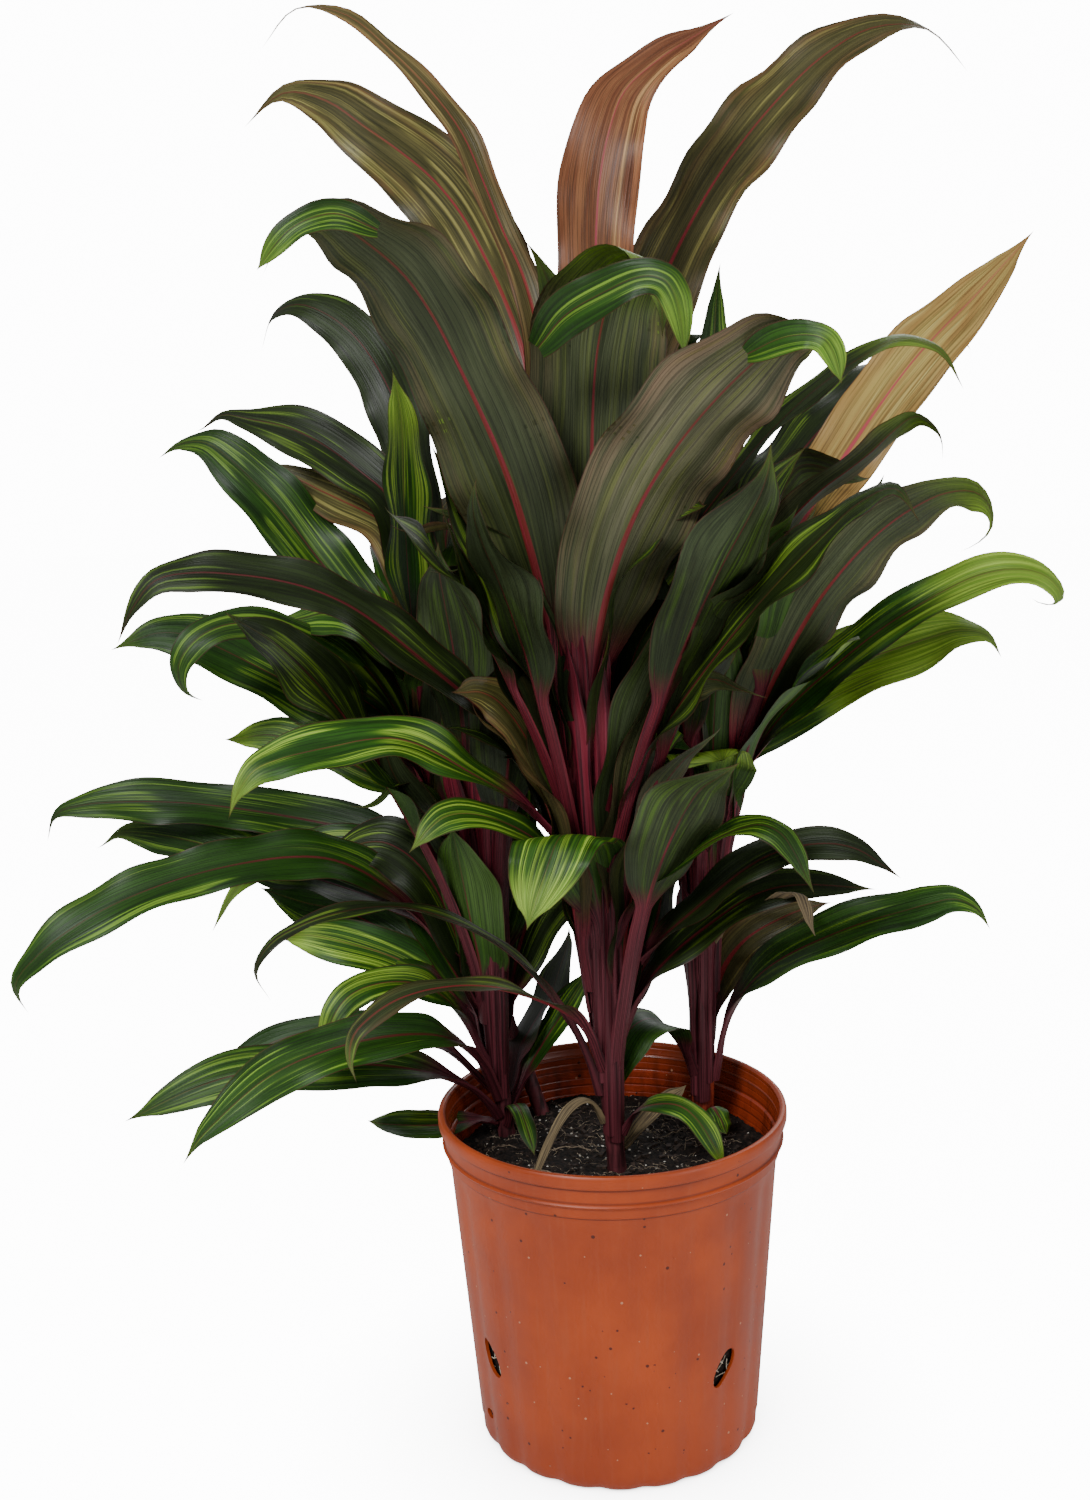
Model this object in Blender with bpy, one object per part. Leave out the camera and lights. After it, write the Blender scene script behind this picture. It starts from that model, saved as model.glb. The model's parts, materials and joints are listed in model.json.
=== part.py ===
"""Potted ti plant: four leafy canes in potting mix in a fluted plastic nursery pot.

Metres, +Z up.  The origin is the centre of the pot's foot.  Every leaf is listed by its
cane, its azimuth (0 is +X, 90 is +Y), its width and the arch that its midrib follows.
"""
import functools
import math

import bmesh
import bpy
import numpy as np
from mathutils.bvhtree import BVHTree

# ---- driving dimensions, metres ------------------------------------------------------
RIM_R = 0.127            # outer radius of the rim: a 254 mm (ten inch) pot
FOOT_R = 0.1035          # outer radius at the foot
POT_H = 0.250            # height of the rim over the floor
WALL = 0.0024            # wall of the pot
FLOOR = 0.004            # thickness of the pot's floor
FLUTES = 20              # shallow upright flutes around the body
FLUTE_DEPTH = 0.0016     # how far a flute sinks in at mid height
POT_SIDES = 80           # facets around the pot
HOLE_AZIMUTHS = (313, 214, 133, 34)   # drain holes, degrees; every second one leans back
HOLE_Z = 0.082
HOLE_SIZE = (0.018, 0.026)       # width and height of a drain hole
HOLE_LEAN = 0.21                 # how far its top leans sideways, as a share of its height
WEEP_HOLE = (205, 0.0275, 0.008)  # azimuth, height and diameter of the small low hole
SOIL_Z = 0.208           # level of the potting mix
CANE_BURIED = 0.055      # length of each cane below the potting mix
GAP = 0.0003             # clearance between pieces that touch
LEAF_STATIONS = 17       # cross-sections along a leaf
STALK = 0.0036           # half width of a leaf stalk
STALK_SHARE = 0.16       # share of a leaf's length that is stalk
CM = 0.01

# canes: radius, then the axis as x, y, z in centimetres from the soil to the top
CANES = {
    "centre": (0.0070, [(0.3, -2.8, 20.8), (-0.2, -2.8, 28.0), (-0.8, -2.7, 36.0),
                        (-1.3, -2.6, 46.0), (-2.1, -2.4, 56.5)]),
    "right": (0.0085, [(6.8, 4.3, 20.8), (7.0, 4.3, 28.0), (7.5, 4.4, 38.0), (9.1, 4.6, 54.5)]),
    "left": (0.0065, [(-8.0, 4.2, 20.8), (-8.5, 4.2, 27.0), (-9.0, 4.3, 32.0), (-9.5, 4.4, 39.0)]),
    "back": (0.0060, [(-5.4, 8.0, 20.8), (-8.4, 8.5, 30.0), (-11.2, 9.0, 39.0), (-12.6, 9.4, 49.5)]),
}

# leaves: cane, azimuth (or a pair, at the foot and at the tip), height of the joint on the
# cane in cm, width in cm, material, degrees that the upper side is rolled to the front (or a
# pair, at the middle and at the tip), and the midrib as (reach, height) in cm
LEAVES = [
    # crown of the centre cane
    ("centre", (118, 138), 52.0, 6.4, "bronze_leaf", 60,
     [(2.8, 60), (3.8, 70), (6.4, 79), (11.7, 86), (16.5, 90.7), (23, 95), (29, 98.6), (33, 96.6)]),
    ("centre", 222, 48.5, 7.6, "bronze_leaf", (-48, -25),
     [(1.8, 56), (3, 62.5), (4.6, 68), (6.6, 73), (11.4, 81.5), (15, 84.9), (18.9, 86.8), (21.5, 86.3),
      (23.6, 84)]),
    ("centre", (345, 315), 51.0, 9.8, "grey_leaf", (-72, -10),
     [(0.6, 60), (1.5, 71), (1.9, 77), (2.8, 81.5), (4.5, 84), (6.9, 84), (9.1, 79.5)]),
    ("centre", 318, 50.0, 8.0, "grey_leaf", -32,
     [(2, 56), (4.4, 63), (7.5, 69), (11.5, 74), (16, 78), (19.5, 79.7), (21.3, 77)]),
    ("centre", (62, 28), 53.0, 5.6, "bronze_leaf", 38,
     [(2.2, 60), (5.6, 72), (11.4, 81.4), (17.1, 89.3), (22, 95.2), (26.3, 99.5), (30.4, 101.2),
      (33.4, 98)]),
    ("centre", (60, 38), 54.0, 5.2, "young_leaf", 45,
     [(1.5, 61), (2.8, 75), (3.9, 83), (4.4, 88.5), (5.7, 93), (8.1, 96.4), (14.5, 101)]),
    ("centre", (105, 150), 53.5, 2.6, "bronze_leaf", 30,
     [(2.4, 62), (3.4, 75), (4.6, 82), (8.4, 88), (11.3, 94), (15.3, 99.3), (18.9, 102.7), (21.4, 100)]),
    ("centre", 20, 46.0, 4.8, "dark_leaf", 40,
     [(2, 52), (5, 58), (9, 63), (13, 68), (17, 72)]),
    ("centre", 338, 48.5, 2.8, "dark_leaf", 30,
     [(3, 60), (8, 67), (13, 73), (18, 77), (23, 79), (26, 76)]),
    ("centre", 335, 39.0, 4.6, "dark_leaf", 40,
     [(2, 44), (4, 51), (8, 57), (13, 63), (18, 68), (21, 70), (23, 68)]),
    ("centre", 200, 47.5, 3.4, "dark_leaf", 30,
     [(2, 51), (4, 55), (6, 60), (8, 65), (9, 69)]),
    ("centre", 165, 50.0, 3.4, "dark_leaf", 40,
     [(2, 55), (4, 60), (6, 65), (8, 70), (9, 73)]),
    ("centre", 100, 44.0, 4.6, "green_leaf", 0,
     [(2, 50), (5, 58), (9, 64), (14, 67), (19, 64)]),
    ("centre", 190, 45.5, 4.8, "dark_leaf", 52,
     [(3, 50), (6, 54), (10, 58), (16, 63), (22, 65), (28, 65), (31, 61)]),
    ("centre", 202, 44.0, 3.6, "lime_leaf", 45,
     [(4, 48), (8, 51), (13, 54), (18, 54), (23, 53), (25, 50)]),
    ("centre", 212, 41.0, 2.6, "lime_leaf", 40,
     [(3, 45), (7, 48), (11, 49), (14, 47)]),
    ("centre", 270, 37.5, 6.2, "lime_leaf", 0,
     [(2, 43), (4, 46.5), (6, 47), (9, 42)]),
    # lower leaves of the centre cane
    ("centre", 328, 36.0, 2.7, "green_leaf", 25,
     [(3, 41), (6, 44), (10, 47), (14, 48), (17, 44)]),
    ("centre", 345, 33.0, 3.0, "dark_leaf", 42,
     [(3, 37), (7, 41), (12, 45), (17, 46), (21, 44)]),
    ("centre", 357, 30.0, 3.0, "dark_leaf", 42,
     [(3, 35), (7, 39), (12, 42), (19, 42)]),
    ("centre", 205, 27.0, 1.8, "dark_leaf", 10,
     [(2, 31), (5, 36), (9, 40), (15, 43), (21, 43), (25, 41), (24.5, 38)]),
    ("centre", 217, 29.0, 2.3, "grey_leaf", 10,
     [(3, 33), (7, 36), (12, 38), (17, 38), (20.5, 36), (20.5, 33)]),
    ("centre", 330, 24.0, 2.0, "lime_leaf", 20,
     [(2, 26), (5, 27), (7, 26), (9, 23)]),
    ("centre", 222, 25.0, 1.2, "dry_leaf", 20,
     [(2, 27), (4, 27), (6, 25), (8, 22)]),
    # right cane
    ("right", 30, 53.0, 5.0, "young_leaf", 50,
     [(3, 60), (6, 65), (11, 71), (17, 77.3), (23, 82), (28.4, 86.5)]),
    ("right", 48, 52.0, 6.0, "dark_leaf", 0,
     [(3, 60), (8, 66), (15, 72), (24, 77), (33, 82)]),
    ("right", 340, 51.0, 2.8, "grey_leaf", -30,
     [(1, 57), (3, 64), (6, 68), (10, 71), (14, 74), (17, 72)]),
    ("right", 325, 43.0, 5.8, "grey_leaf", -36,
     [(2, 49), (5, 55.5), (9, 62), (14, 67), (19, 69.3), (22, 68), (22.4, 65)]),
    ("right", 350, 42.0, 3.4, "dark_leaf", 45,
     [(2, 47), (5, 52), (9, 56), (14, 60), (20, 63), (25, 62), (25, 59)]),
    ("right", 8, 41.0, 5.6, "lime_leaf", 45,
     [(2, 46), (5, 50), (10, 54), (16, 57), (20, 58), (22, 56)]),
    ("right", 285, 40.0, 5.2, "lime_leaf", 0,
     [(1, 44), (2, 48), (3.5, 51), (6, 48)]),
    ("right", 345, 25.0, 3.9, "green_leaf", 40,
     [(2, 30), (5, 34), (10, 37), (15, 39), (19, 40), (21, 38)]),
    ("right", 12, 27.0, 3.2, "bronze_leaf", 30,
     [(2, 32), (4, 35), (7, 37), (10, 38)]),
    ("right", 225, 25.5, 4.2, "green_leaf", 10,
     [(2, 28), (5, 31), (8, 30), (9.5, 25.5)]),
    ("right", 110, 46.0, 4.4, "green_leaf", 0,
     [(2, 52), (6, 58), (12, 62), (19, 62), (24, 57)]),
    # left cane
    ("left", 240, 30.0, 5.4, "dark_leaf", 0,
     [(1, 34), (2, 38), (3, 42), (4, 46)]),
    ("left", 150, 28.0, 2.9, "dark_leaf", 30,
     [(2, 31), (4, 34), (6, 37), (8, 41)]),
    ("left", 175, 27.5, 3.6, "lime_leaf", 50,
     [(3, 31), (7, 34), (12, 36), (17, 37)]),
    ("left", 195, 31.0, 4.0, "dark_leaf", 48,
     [(3, 35), (7, 40), (12, 43), (20, 43), (28, 41), (34, 37), (34.5, 34)]),
    ("left", 168, 34.5, 2.9, "lime_leaf", 45,
     [(3, 39), (7, 42), (12, 43), (18, 41), (22, 36)]),
    ("left", 182, 35.5, 3.8, "green_leaf", 50,
     [(3, 39), (8, 42), (15, 44), (24, 46), (32, 46), (34, 43.5)]),
    ("left", 215, 27.0, 2.5, "lime_leaf", 45,
     [(3, 31), (6, 34), (10, 35), (13, 34), (15, 30)]),
    ("left", 217, 24.0, 3.4, "dark_leaf", 55,
     [(3, 28), (7, 31), (13, 32), (19, 31), (24, 28), (26, 26)]),
    ("left", 188, 24.5, 2.4, "dark_leaf", 50,
     [(4, 28), (9, 30), (15, 30), (20, 28), (22, 26)]),
    ("left", 197, 22.5, 3.8, "dark_leaf", 58,
     [(3, 25.5), (8, 28), (14, 29), (21, 28.5), (28, 26)]),
    ("left", 292, 22.5, 1.4, "green_leaf", 0,
     [(2, 24), (4, 24), (6.5, 21.8)]),
    ("left", 40, 23.0, 2.6, "dark_leaf", 10,
     [(3, 26), (6, 29), (9, 32)]),
    # back cane
    ("back", 165, 46.5, 5.0, "green_leaf", 50,
     [(2, 53), (5, 59), (9, 64), (13, 69), (18, 73), (22, 72)]),
    ("back", 205, 47.5, 5.0, "lime_leaf", 72,
     [(1.2, 54), (1.6, 61), (1.7, 68), (1.6, 74), (1.9, 78)]),
    ("back", 300, 47.0, 4.2, "dark_leaf", 0,
     [(1.5, 54), (3, 60), (5, 65), (8, 67), (11, 62)]),
    ("back", 140, 48.5, 6.2, "dark_leaf", 50,
     [(1.5, 56), (3, 66), (6, 75), (10, 81), (15, 83), (18, 80)]),
    ("back", 200, 45.5, 2.8, "green_leaf", 45,
     [(3, 51), (6, 56), (12, 60), (17, 60), (19.5, 57), (18.5, 54)]),
    ("back", 178, 44.0, 4.6, "green_leaf", 55,
     [(3, 48), (8, 52), (14, 56), (20, 59), (25, 58)]),
    ("back", 235, 35.0, 4.0, "dark_leaf", 10,
     [(1.5, 39), (4, 43), (7, 47), (9, 50), (10, 54)]),
]

COLOURS = {              # linear base colour, roughness
    "terracotta_plastic": ((0.42, 0.105, 0.035), 0.42),
    "potting_mix": ((0.014, 0.011, 0.009), 0.95),
    "cane_bark": ((0.17, 0.05, 0.04), 0.6),
    "dark_leaf": ((0.030, 0.045, 0.022), 0.38),
    "bronze_leaf": ((0.090, 0.095, 0.035), 0.38),
    "green_leaf": ((0.080, 0.170, 0.035), 0.38),
    "lime_leaf": ((0.300, 0.480, 0.060), 0.40),
    "grey_leaf": ((0.130, 0.160, 0.090), 0.45),
    "young_leaf": ((0.340, 0.190, 0.090), 0.42),
    "dry_leaf": ((0.420, 0.340, 0.200), 0.75),
}


def material(slot):
    """The Principled material of a slot, made once."""
    found = bpy.data.materials.get(slot)
    if found:
        return found
    colour, roughness = COLOURS[slot]
    made = bpy.data.materials.new(slot)
    made.use_nodes = True
    shader = made.node_tree.nodes["Principled BSDF"]
    shader.inputs["Base Color"].default_value = (*colour, 1.0)
    shader.inputs["Roughness"].default_value = roughness
    shader.inputs["Metallic"].default_value = 0.0
    made.diffuse_color = (*colour, 1.0)
    return made


def solid(name, slot, points, faces, sharp=40):
    """One closed body from its points and faces."""
    mesh = bpy.data.meshes.new(name)
    mesh.from_pydata([tuple(map(float, p)) for p in points], [], faces)
    work = bmesh.new()
    work.from_mesh(mesh)
    bmesh.ops.recalc_face_normals(work, faces=work.faces)
    work.to_mesh(mesh)
    work.free()
    mesh.shade_smooth()
    mesh.set_sharp_from_angle(angle=math.radians(sharp))
    mesh.materials.append(material(slot))
    piece = bpy.data.objects.new(name, mesh)
    bpy.context.collection.objects.link(piece)
    return piece


def loft(rings):
    """Points and quads of a skin over equal rings, with its two ends closed."""
    count = len(rings[0])
    points = [p for ring in rings for p in ring]
    faces = []
    for row in range(len(rings) - 1):
        low, high = row * count, (row + 1) * count
        for k in range(count):
            step = (k + 1) % count
            faces.append((low + k, low + step, high + step, high + k))
    faces.append(tuple(range(count))[::-1])
    faces.append(tuple(range((len(rings) - 1) * count, len(rings) * count)))
    return points, faces


def smooth_path(points, count):
    """A curve through the points, read at equal steps of its length."""
    knots = np.asarray(points, float)
    ends = np.vstack([2 * knots[0] - knots[1], knots, 2 * knots[-1] - knots[-2]])
    fine = []
    for i in range(len(knots) - 1):
        a, b, c, d = ends[i:i + 4]
        for t in np.linspace(0, 1, 24, endpoint=False):
            fine.append(0.5 * (2 * b + (c - a) * t + (2 * a - 5 * b + 4 * c - d) * t ** 2
                               + (3 * b - a - 3 * c + d) * t ** 3))
    fine = np.array(fine + [knots[-1]])
    run = np.concatenate([[0], np.cumsum(np.linalg.norm(np.diff(fine, axis=0), axis=1))])
    steps = np.linspace(0, run[-1], count)
    return np.stack([np.interp(steps, run, fine[:, k]) for k in range(3)], axis=1)


# ---- pot -----------------------------------------------------------------------------
def wall_radius(z):
    """Outer radius of the tapered body, before the rim band."""
    return FOOT_R + (RIM_R - 0.0045 - FOOT_R) * z / POT_H


def flute(z, angle):
    """How far the flutes sink in: none at the rim band, most at the foot."""
    fade = min(1.0, max(0.0, (0.216 - z) / 0.012))
    deep = FLUTE_DEPTH * (1.0 + 1.6 * max(0.0, 1 - z / 0.02))
    return fade * deep * (0.5 - 0.5 * math.cos(FLUTES * angle)) ** 1.4


def pot_ring(z, radius, sides=POT_SIDES):
    ring = []
    for k in range(sides):
        angle = 2 * math.pi * k / sides
        r = radius - flute(z, angle)
        ring.append((r * math.cos(angle), r * math.sin(angle), z))
    return ring


def soil_side(z):
    """Inner radius of the pot at a height, the wall that the potting mix meets."""
    return wall_radius(z) - WALL


def make_pot():
    """Moulded pot: fluted wall, rolled lip, two ridges round the band, drain holes."""
    outside = [(0.0, FOOT_R - 0.006), (0.0015, FOOT_R - 0.0022), (0.006, wall_radius(0.006)),
               (0.020, wall_radius(0.020)), (0.110, wall_radius(0.110)),
               (0.204, wall_radius(0.204)), (0.216, wall_radius(0.216)),
               (0.2172, RIM_R - 0.0058), (0.2245, RIM_R - 0.0052),
               (0.2260, RIM_R - 0.0026), (0.2278, RIM_R - 0.0026), (0.2286, RIM_R - 0.0040),
               (0.2395, RIM_R - 0.0030), (0.2405, RIM_R - 0.0008), (0.2440, RIM_R),
               (0.2485, RIM_R - 0.0002), (POT_H, RIM_R - 0.0018)]
    inside = [(POT_H, RIM_R - 0.0042), (0.2480, RIM_R - 0.0058),
              (0.2300, RIM_R - 0.0064), (0.2270, RIM_R - 0.0072),
              (0.2160, soil_side(0.216)), (0.2040, soil_side(0.204)),
              (0.1100, soil_side(0.110)), (0.0200, soil_side(0.020)),
              (FLOOR + 0.002, soil_side(0.006)), (FLOOR, soil_side(0.006) - 0.003)]
    rings = [pot_ring(z, r) for z, r in outside + inside]
    points, faces = loft(rings)
    pot = solid("pot", "terracotta_plastic", points, faces, 30)
    wide, tall = HOLE_SIZE
    weep_azimuth, weep_z, weep_size = WEEP_HOLE
    cuts = [(a, HOLE_Z, wide, tall, HOLE_LEAN * (-1) ** k) for k, a in enumerate(HOLE_AZIMUTHS)]
    cuts.append((weep_azimuth, weep_z, weep_size, weep_size, 0.0))
    for k, (azimuth, z, width, height, lean) in enumerate(cuts):
        turn = math.radians(azimuth)
        out = np.array([math.cos(turn), math.sin(turn), 0])
        side = np.array([-math.sin(turn), math.cos(turn), 0])
        ends = []
        for reach in (0.088, 0.125):
            ring = []
            for j in range(16):
                a = 2 * math.pi * j / 16
                up = 0.5 * height * math.sin(a)
                across = 0.5 * width * math.cos(a) + lean * height * math.sin(a)
                ring.append(out * reach + side * across + np.array([0, 0, z + up]))
            ends.append(ring)
        points, faces = loft(ends)
        cutter = solid(f"hole_cutter_{k}", "terracotta_plastic", points, faces)
        cutter.hide_render = True
        cutter.display_type = "WIRE"
        cut = pot.modifiers.new(f"drain_hole_{k}", "BOOLEAN")
        cut.object = cutter
        cut.operation = "DIFFERENCE"
    return pot


# ---- canes and potting mix -----------------------------------------------------------
@functools.lru_cache
def cane_axis(name):
    """Axis of a cane in metres, buried foot first, as a smooth line."""
    knots = np.array(CANES[name][1]) * CM
    lean = knots[1] - knots[0]
    foot = knots[0] - lean * CANE_BURIED / lean[2]
    return smooth_path(np.vstack([foot, knots]), 15)


def tube(axis, radii, sides):
    """Rings square to a line."""
    tangents = np.gradient(axis, axis=0)
    rings = []
    for centre, tangent, radius in zip(axis, tangents, radii):
        tangent = tangent / np.linalg.norm(tangent)
        across = np.cross(tangent, (0, 1, 0))
        across /= np.linalg.norm(across)
        deep = np.cross(tangent, across)
        rings.append([centre + radius * (math.cos(t) * across + math.sin(t) * deep)
                      for t in 2 * math.pi * np.arange(sides) / sides])
    return rings


def make_cane(name):
    axis = cane_axis(name)
    radius = CANES[name][0]
    swell = [radius * (1.0 if k % 2 else 0.94) for k in range(len(axis))]
    swell[-1] = radius * 0.6
    points, faces = loft(tube(axis, swell, 12))
    return solid(f"cane_{name}", "cane_bark", points, faces, 50)


def make_soil():
    """Potting mix: fills the pot to SOIL_Z, with a socket for each cane."""
    low = FLOOR + GAP
    heights = [low, FLOOR + 0.002 + GAP, 0.020, 0.110, 0.204]
    radii = [soil_side(0.006) - 0.003] + [soil_side(max(0.006, z)) for z in heights[1:]]
    loose = [GAP, 3 * GAP, 3 * GAP, GAP, GAP]      # the low quads are not flat
    rings = [pot_ring(z, r - gap) for z, r, gap in zip(heights, radii, loose)]
    top = [(SOIL_Z - 0.002, 1.0), (SOIL_Z, 0.93), (SOIL_Z + 0.002, 0.70), (SOIL_Z + 0.003, 0.40),
           (SOIL_Z + 0.002, 0.12)]
    for row, (z, scale) in enumerate(top):
        ring = []
        for k in range(POT_SIDES):
            angle = 2 * math.pi * k / POT_SIDES
            r = (soil_side(0.204) - GAP) * scale
            if scale == 1.0:
                r -= flute(z, angle)
            bump = 0.0012 * math.sin(5 * angle + 2.1 * row) * math.sin(3 * angle - row)
            ring.append((r * math.cos(angle), r * math.sin(angle), z + bump * (scale < 1)))
        rings.append(ring)
    points, faces = loft(rings)
    soil = solid("potting_mix", "potting_mix", points, faces, 60)
    for name, (radius, _) in CANES.items():
        axis = cane_axis(name)
        fine = smooth_path(axis[axis[:, 2] < 0.26], 5)
        below = fine[0] - (fine[1] - fine[0]) * (GAP / np.linalg.norm(fine[1] - fine[0]))
        fine = np.vstack([below, fine[1:]])
        points, faces = loft(tube(fine, [radius + 2 * GAP] * len(fine), 16))
        cutter = solid(f"socket_cutter_{name}", "potting_mix", points, faces)
        cutter.hide_render = True
        cutter.display_type = "WIRE"
        cut = soil.modifiers.new(f"socket_{name}", "BOOLEAN")
        cut.object = cutter
        cut.operation = "DIFFERENCE"
    return soil


# ---- leaves --------------------------------------------------------------------------
def half_width(u, width):
    """Half width along a leaf: clasping base, slim stalk, lance-shaped blade."""
    stalk = min(STALK, 0.42 * width)
    if u <= STALK_SHARE:
        return stalk + 0.0012 * max(0.0, 1 - u / 0.05)
    t = (u - STALK_SHARE) / (1 - STALK_SHARE)
    blade = math.sin(math.pi * t ** 0.72) ** 1.1 if t < 1 else 0.0
    return max(stalk * (1 - t) ** 0.6 + 0.5 * (width - stalk) * blade, 0.0006)


def midrib(u):
    """Thickness through the midrib."""
    return 0.0034 - 0.0019 * min(1.0, u / 0.4) - 0.0009 * max(0.0, (u - 0.4) / 0.6)


def channel(u):
    """Depth of the upper channel as a share of the half width."""
    return 0.42 - 0.20 * min(1.0, max(0.0, u - STALK_SHARE) / 0.2) - 0.10 * max(0.0, (u - 0.5) / 0.5)


def pair(value):
    return value if isinstance(value, tuple) else (value, value)


def leaf_line(leaf, turn, swing, lift, slip):
    """Midrib of a leaf, with the level direction across it at each station."""
    cane, azimuth, joint, _, _, _, arch = leaf
    start, end = pair(azimuth)
    axis = cane_axis(cane)
    joint_z = joint * CM + lift
    hub = np.array([np.interp(joint_z, axis[:, 2], axis[:, k]) for k in range(3)])
    steps = [(CANES[cane][0] + 0.0012, 0.0)]
    steps += [(reach * CM, height * CM - joint_z) for reach, height in arch]
    far = max(reach for reach, _ in steps)
    knots, headings = [], []
    for reach, rise in steps:
        share = reach / far
        heading = math.radians(start + (end - start) * share ** 2 + turn + swing * (1 - share) ** 2)
        out = np.array([math.cos(heading), math.sin(heading), 0.0])
        knots.append(hub + out * (reach + slip) + np.array([0, 0, rise]))
        headings.append(np.cross((0, 0, 1), out))
    return smooth_path(knots, LEAF_STATIONS), smooth_path(headings, LEAF_STATIONS)


def leaf_rings(leaf, turn=0.0, swing=0.0, lift=0.0, slip=0.0, spare=0.0):
    """Cross-sections of a leaf: left edge, channel, right edge, keel."""
    width = leaf[3] * CM
    front, tip_front = pair(leaf[5])
    line, levels = leaf_line(leaf, turn, swing, lift, slip)
    tangents = np.gradient(line, axis=0)
    rings = []
    for k, (point, tangent, level) in enumerate(zip(line, tangents, levels)):
        u = k / (LEAF_STATIONS - 1)
        tangent = tangent / np.linalg.norm(tangent)
        face = np.cross(tangent, level)
        face /= np.linalg.norm(face)
        side = np.cross(face, tangent)
        toward = side if side[1] < 0 else -side
        beyond = min(1.0, max(0.0, (u - 0.6) / 0.25))
        roll = math.radians(front + (tip_front - front) * beyond)
        roll *= min(1.0, max(0.0, (u - 0.1) / 0.35))
        normal = math.cos(roll) * face + math.sin(roll) * toward
        across = np.cross(normal, tangent)
        half = half_width(u, width) + spare
        sink = channel(u) * half
        rings.append([point + across * half + normal * sink, point + normal * spare * 0.5,
                      point - across * half + normal * sink,
                      point - normal * (midrib(u) + spare)])
    return rings


def near_cane(rings, cane):
    """Least clearance between a leaf's foot and the surface of its own cane."""
    axis = cane_axis(cane)
    corners = np.array(rings[:7])
    points = np.concatenate([corners, 0.5 * (corners + np.roll(corners, 1, axis=1))]).reshape(-1, 3)
    points = points[points[:, 2] < axis[-1, 2]]
    if not len(points):
        return GAP
    span = np.diff(axis, axis=0)
    away = points[:, None, :] - axis[None, :-1, :]
    t = np.clip((away * span).sum(axis=2) / (span * span).sum(axis=1), 0, 1)
    return np.linalg.norm(away - t[:, :, None] * span, axis=2).min() - CANES[cane][0]


def leaf_skin(rings):
    """Points and triangles of a leaf.  Both sides are split along matching diagonals, from an
    edge to the midrib, so that the thin blade's two walls never cross."""
    points = [p for ring in rings for p in ring]
    faces = []
    for row in range(len(rings) - 1):
        left, channel, right, keel = (4 * row + k for k in range(4))
        for edge, middle in ((left, channel), (right, keel)):
            faces.append((edge, middle, middle + 4))
            faces.append((edge, middle + 4, edge + 4))
        for middle, edge in ((channel, right), (keel, left)):
            faces.append((middle, edge, middle + 4))
            faces.append((edge, edge + 4, middle + 4))
    last = 4 * (len(rings) - 1)
    faces += [(3, 1, 0), (3, 2, 1)]
    faces += [(last, last + 1, last + 3), (last + 1, last + 2, last + 3)]
    return points, faces


def tree(points, faces):
    return BVHTree.FromPolygons([tuple(map(float, p)) for p in points], faces, all_triangles=False)


def bounds(points):
    points = np.array(points)
    return points.min(axis=0) - 0.001, points.max(axis=0) + 0.001


def place_leaf(leaf, placed, own):
    """Turn, swing or lift a leaf's foot on its cane, by the least amount, until it is clear."""
    tries = [(turn, swing, lift) for turn in range(-30, 31, 5) for swing in range(-90, 91, 30)
             for lift in (-0.012, -0.006, 0, 0.006, 0.012)]
    tries.sort(key=lambda c: (abs(c[0]) / 5 + abs(c[1]) / 30 + abs(c[2]) / 0.006, c))
    fewest = None
    for choice in tries:
        slip = 0.0
        for _ in range(3):
            slip += GAP - near_cane(leaf_rings(leaf, *choice, slip), leaf[0])
        points, faces = leaf_skin(leaf_rings(leaf, *choice, slip + 0.0001, 0.0006))
        low, high = bounds(points)
        mine = tree(points, faces)
        hits = [number for number, (other_low, other_high, other) in enumerate(placed)
                if number != own and np.all(low < other_high) and np.all(high > other_low)
                and mine.overlap(other)]
        if fewest is None or len(hits) < len(fewest[0]):
            fewest = (hits, choice, slip)
        if not hits:
            break
    return fewest


def make_leaves(fixed):
    placed = []
    for piece in fixed:
        points = [v.co for v in piece.data.vertices]
        faces = [tuple(p.vertices) for p in piece.data.polygons]
        placed.append((*bounds(points), tree(points, faces)))
    first_cane = len(fixed) - len(CANES)
    number = {}
    for leaf in LEAVES:
        cane, slot = leaf[0], leaf[4]
        own = first_cane + list(CANES).index(cane)
        hits, choice, slip = place_leaf(leaf, placed, own)
        points, faces = leaf_skin(leaf_rings(leaf, *choice, slip))
        number[cane] = number.get(cane, 0) + 1
        name = f"leaf_{cane}_{number[cane]:02d}"
        solid(name, slot, points, faces, 60)
        placed.append((*bounds(points), tree(points, faces)))
        if hits:
            print(name, "still touches", hits)


for old in list(bpy.data.objects):
    bpy.data.objects.remove(old, do_unlink=True)

pot = make_pot()
soil = make_soil()
canes = [make_cane(name) for name in CANES]
make_leaves([pot, soil] + canes)
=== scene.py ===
import json
import math
import random

import bpy
import numpy as np
from mathutils import Matrix, Vector, noise


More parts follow.
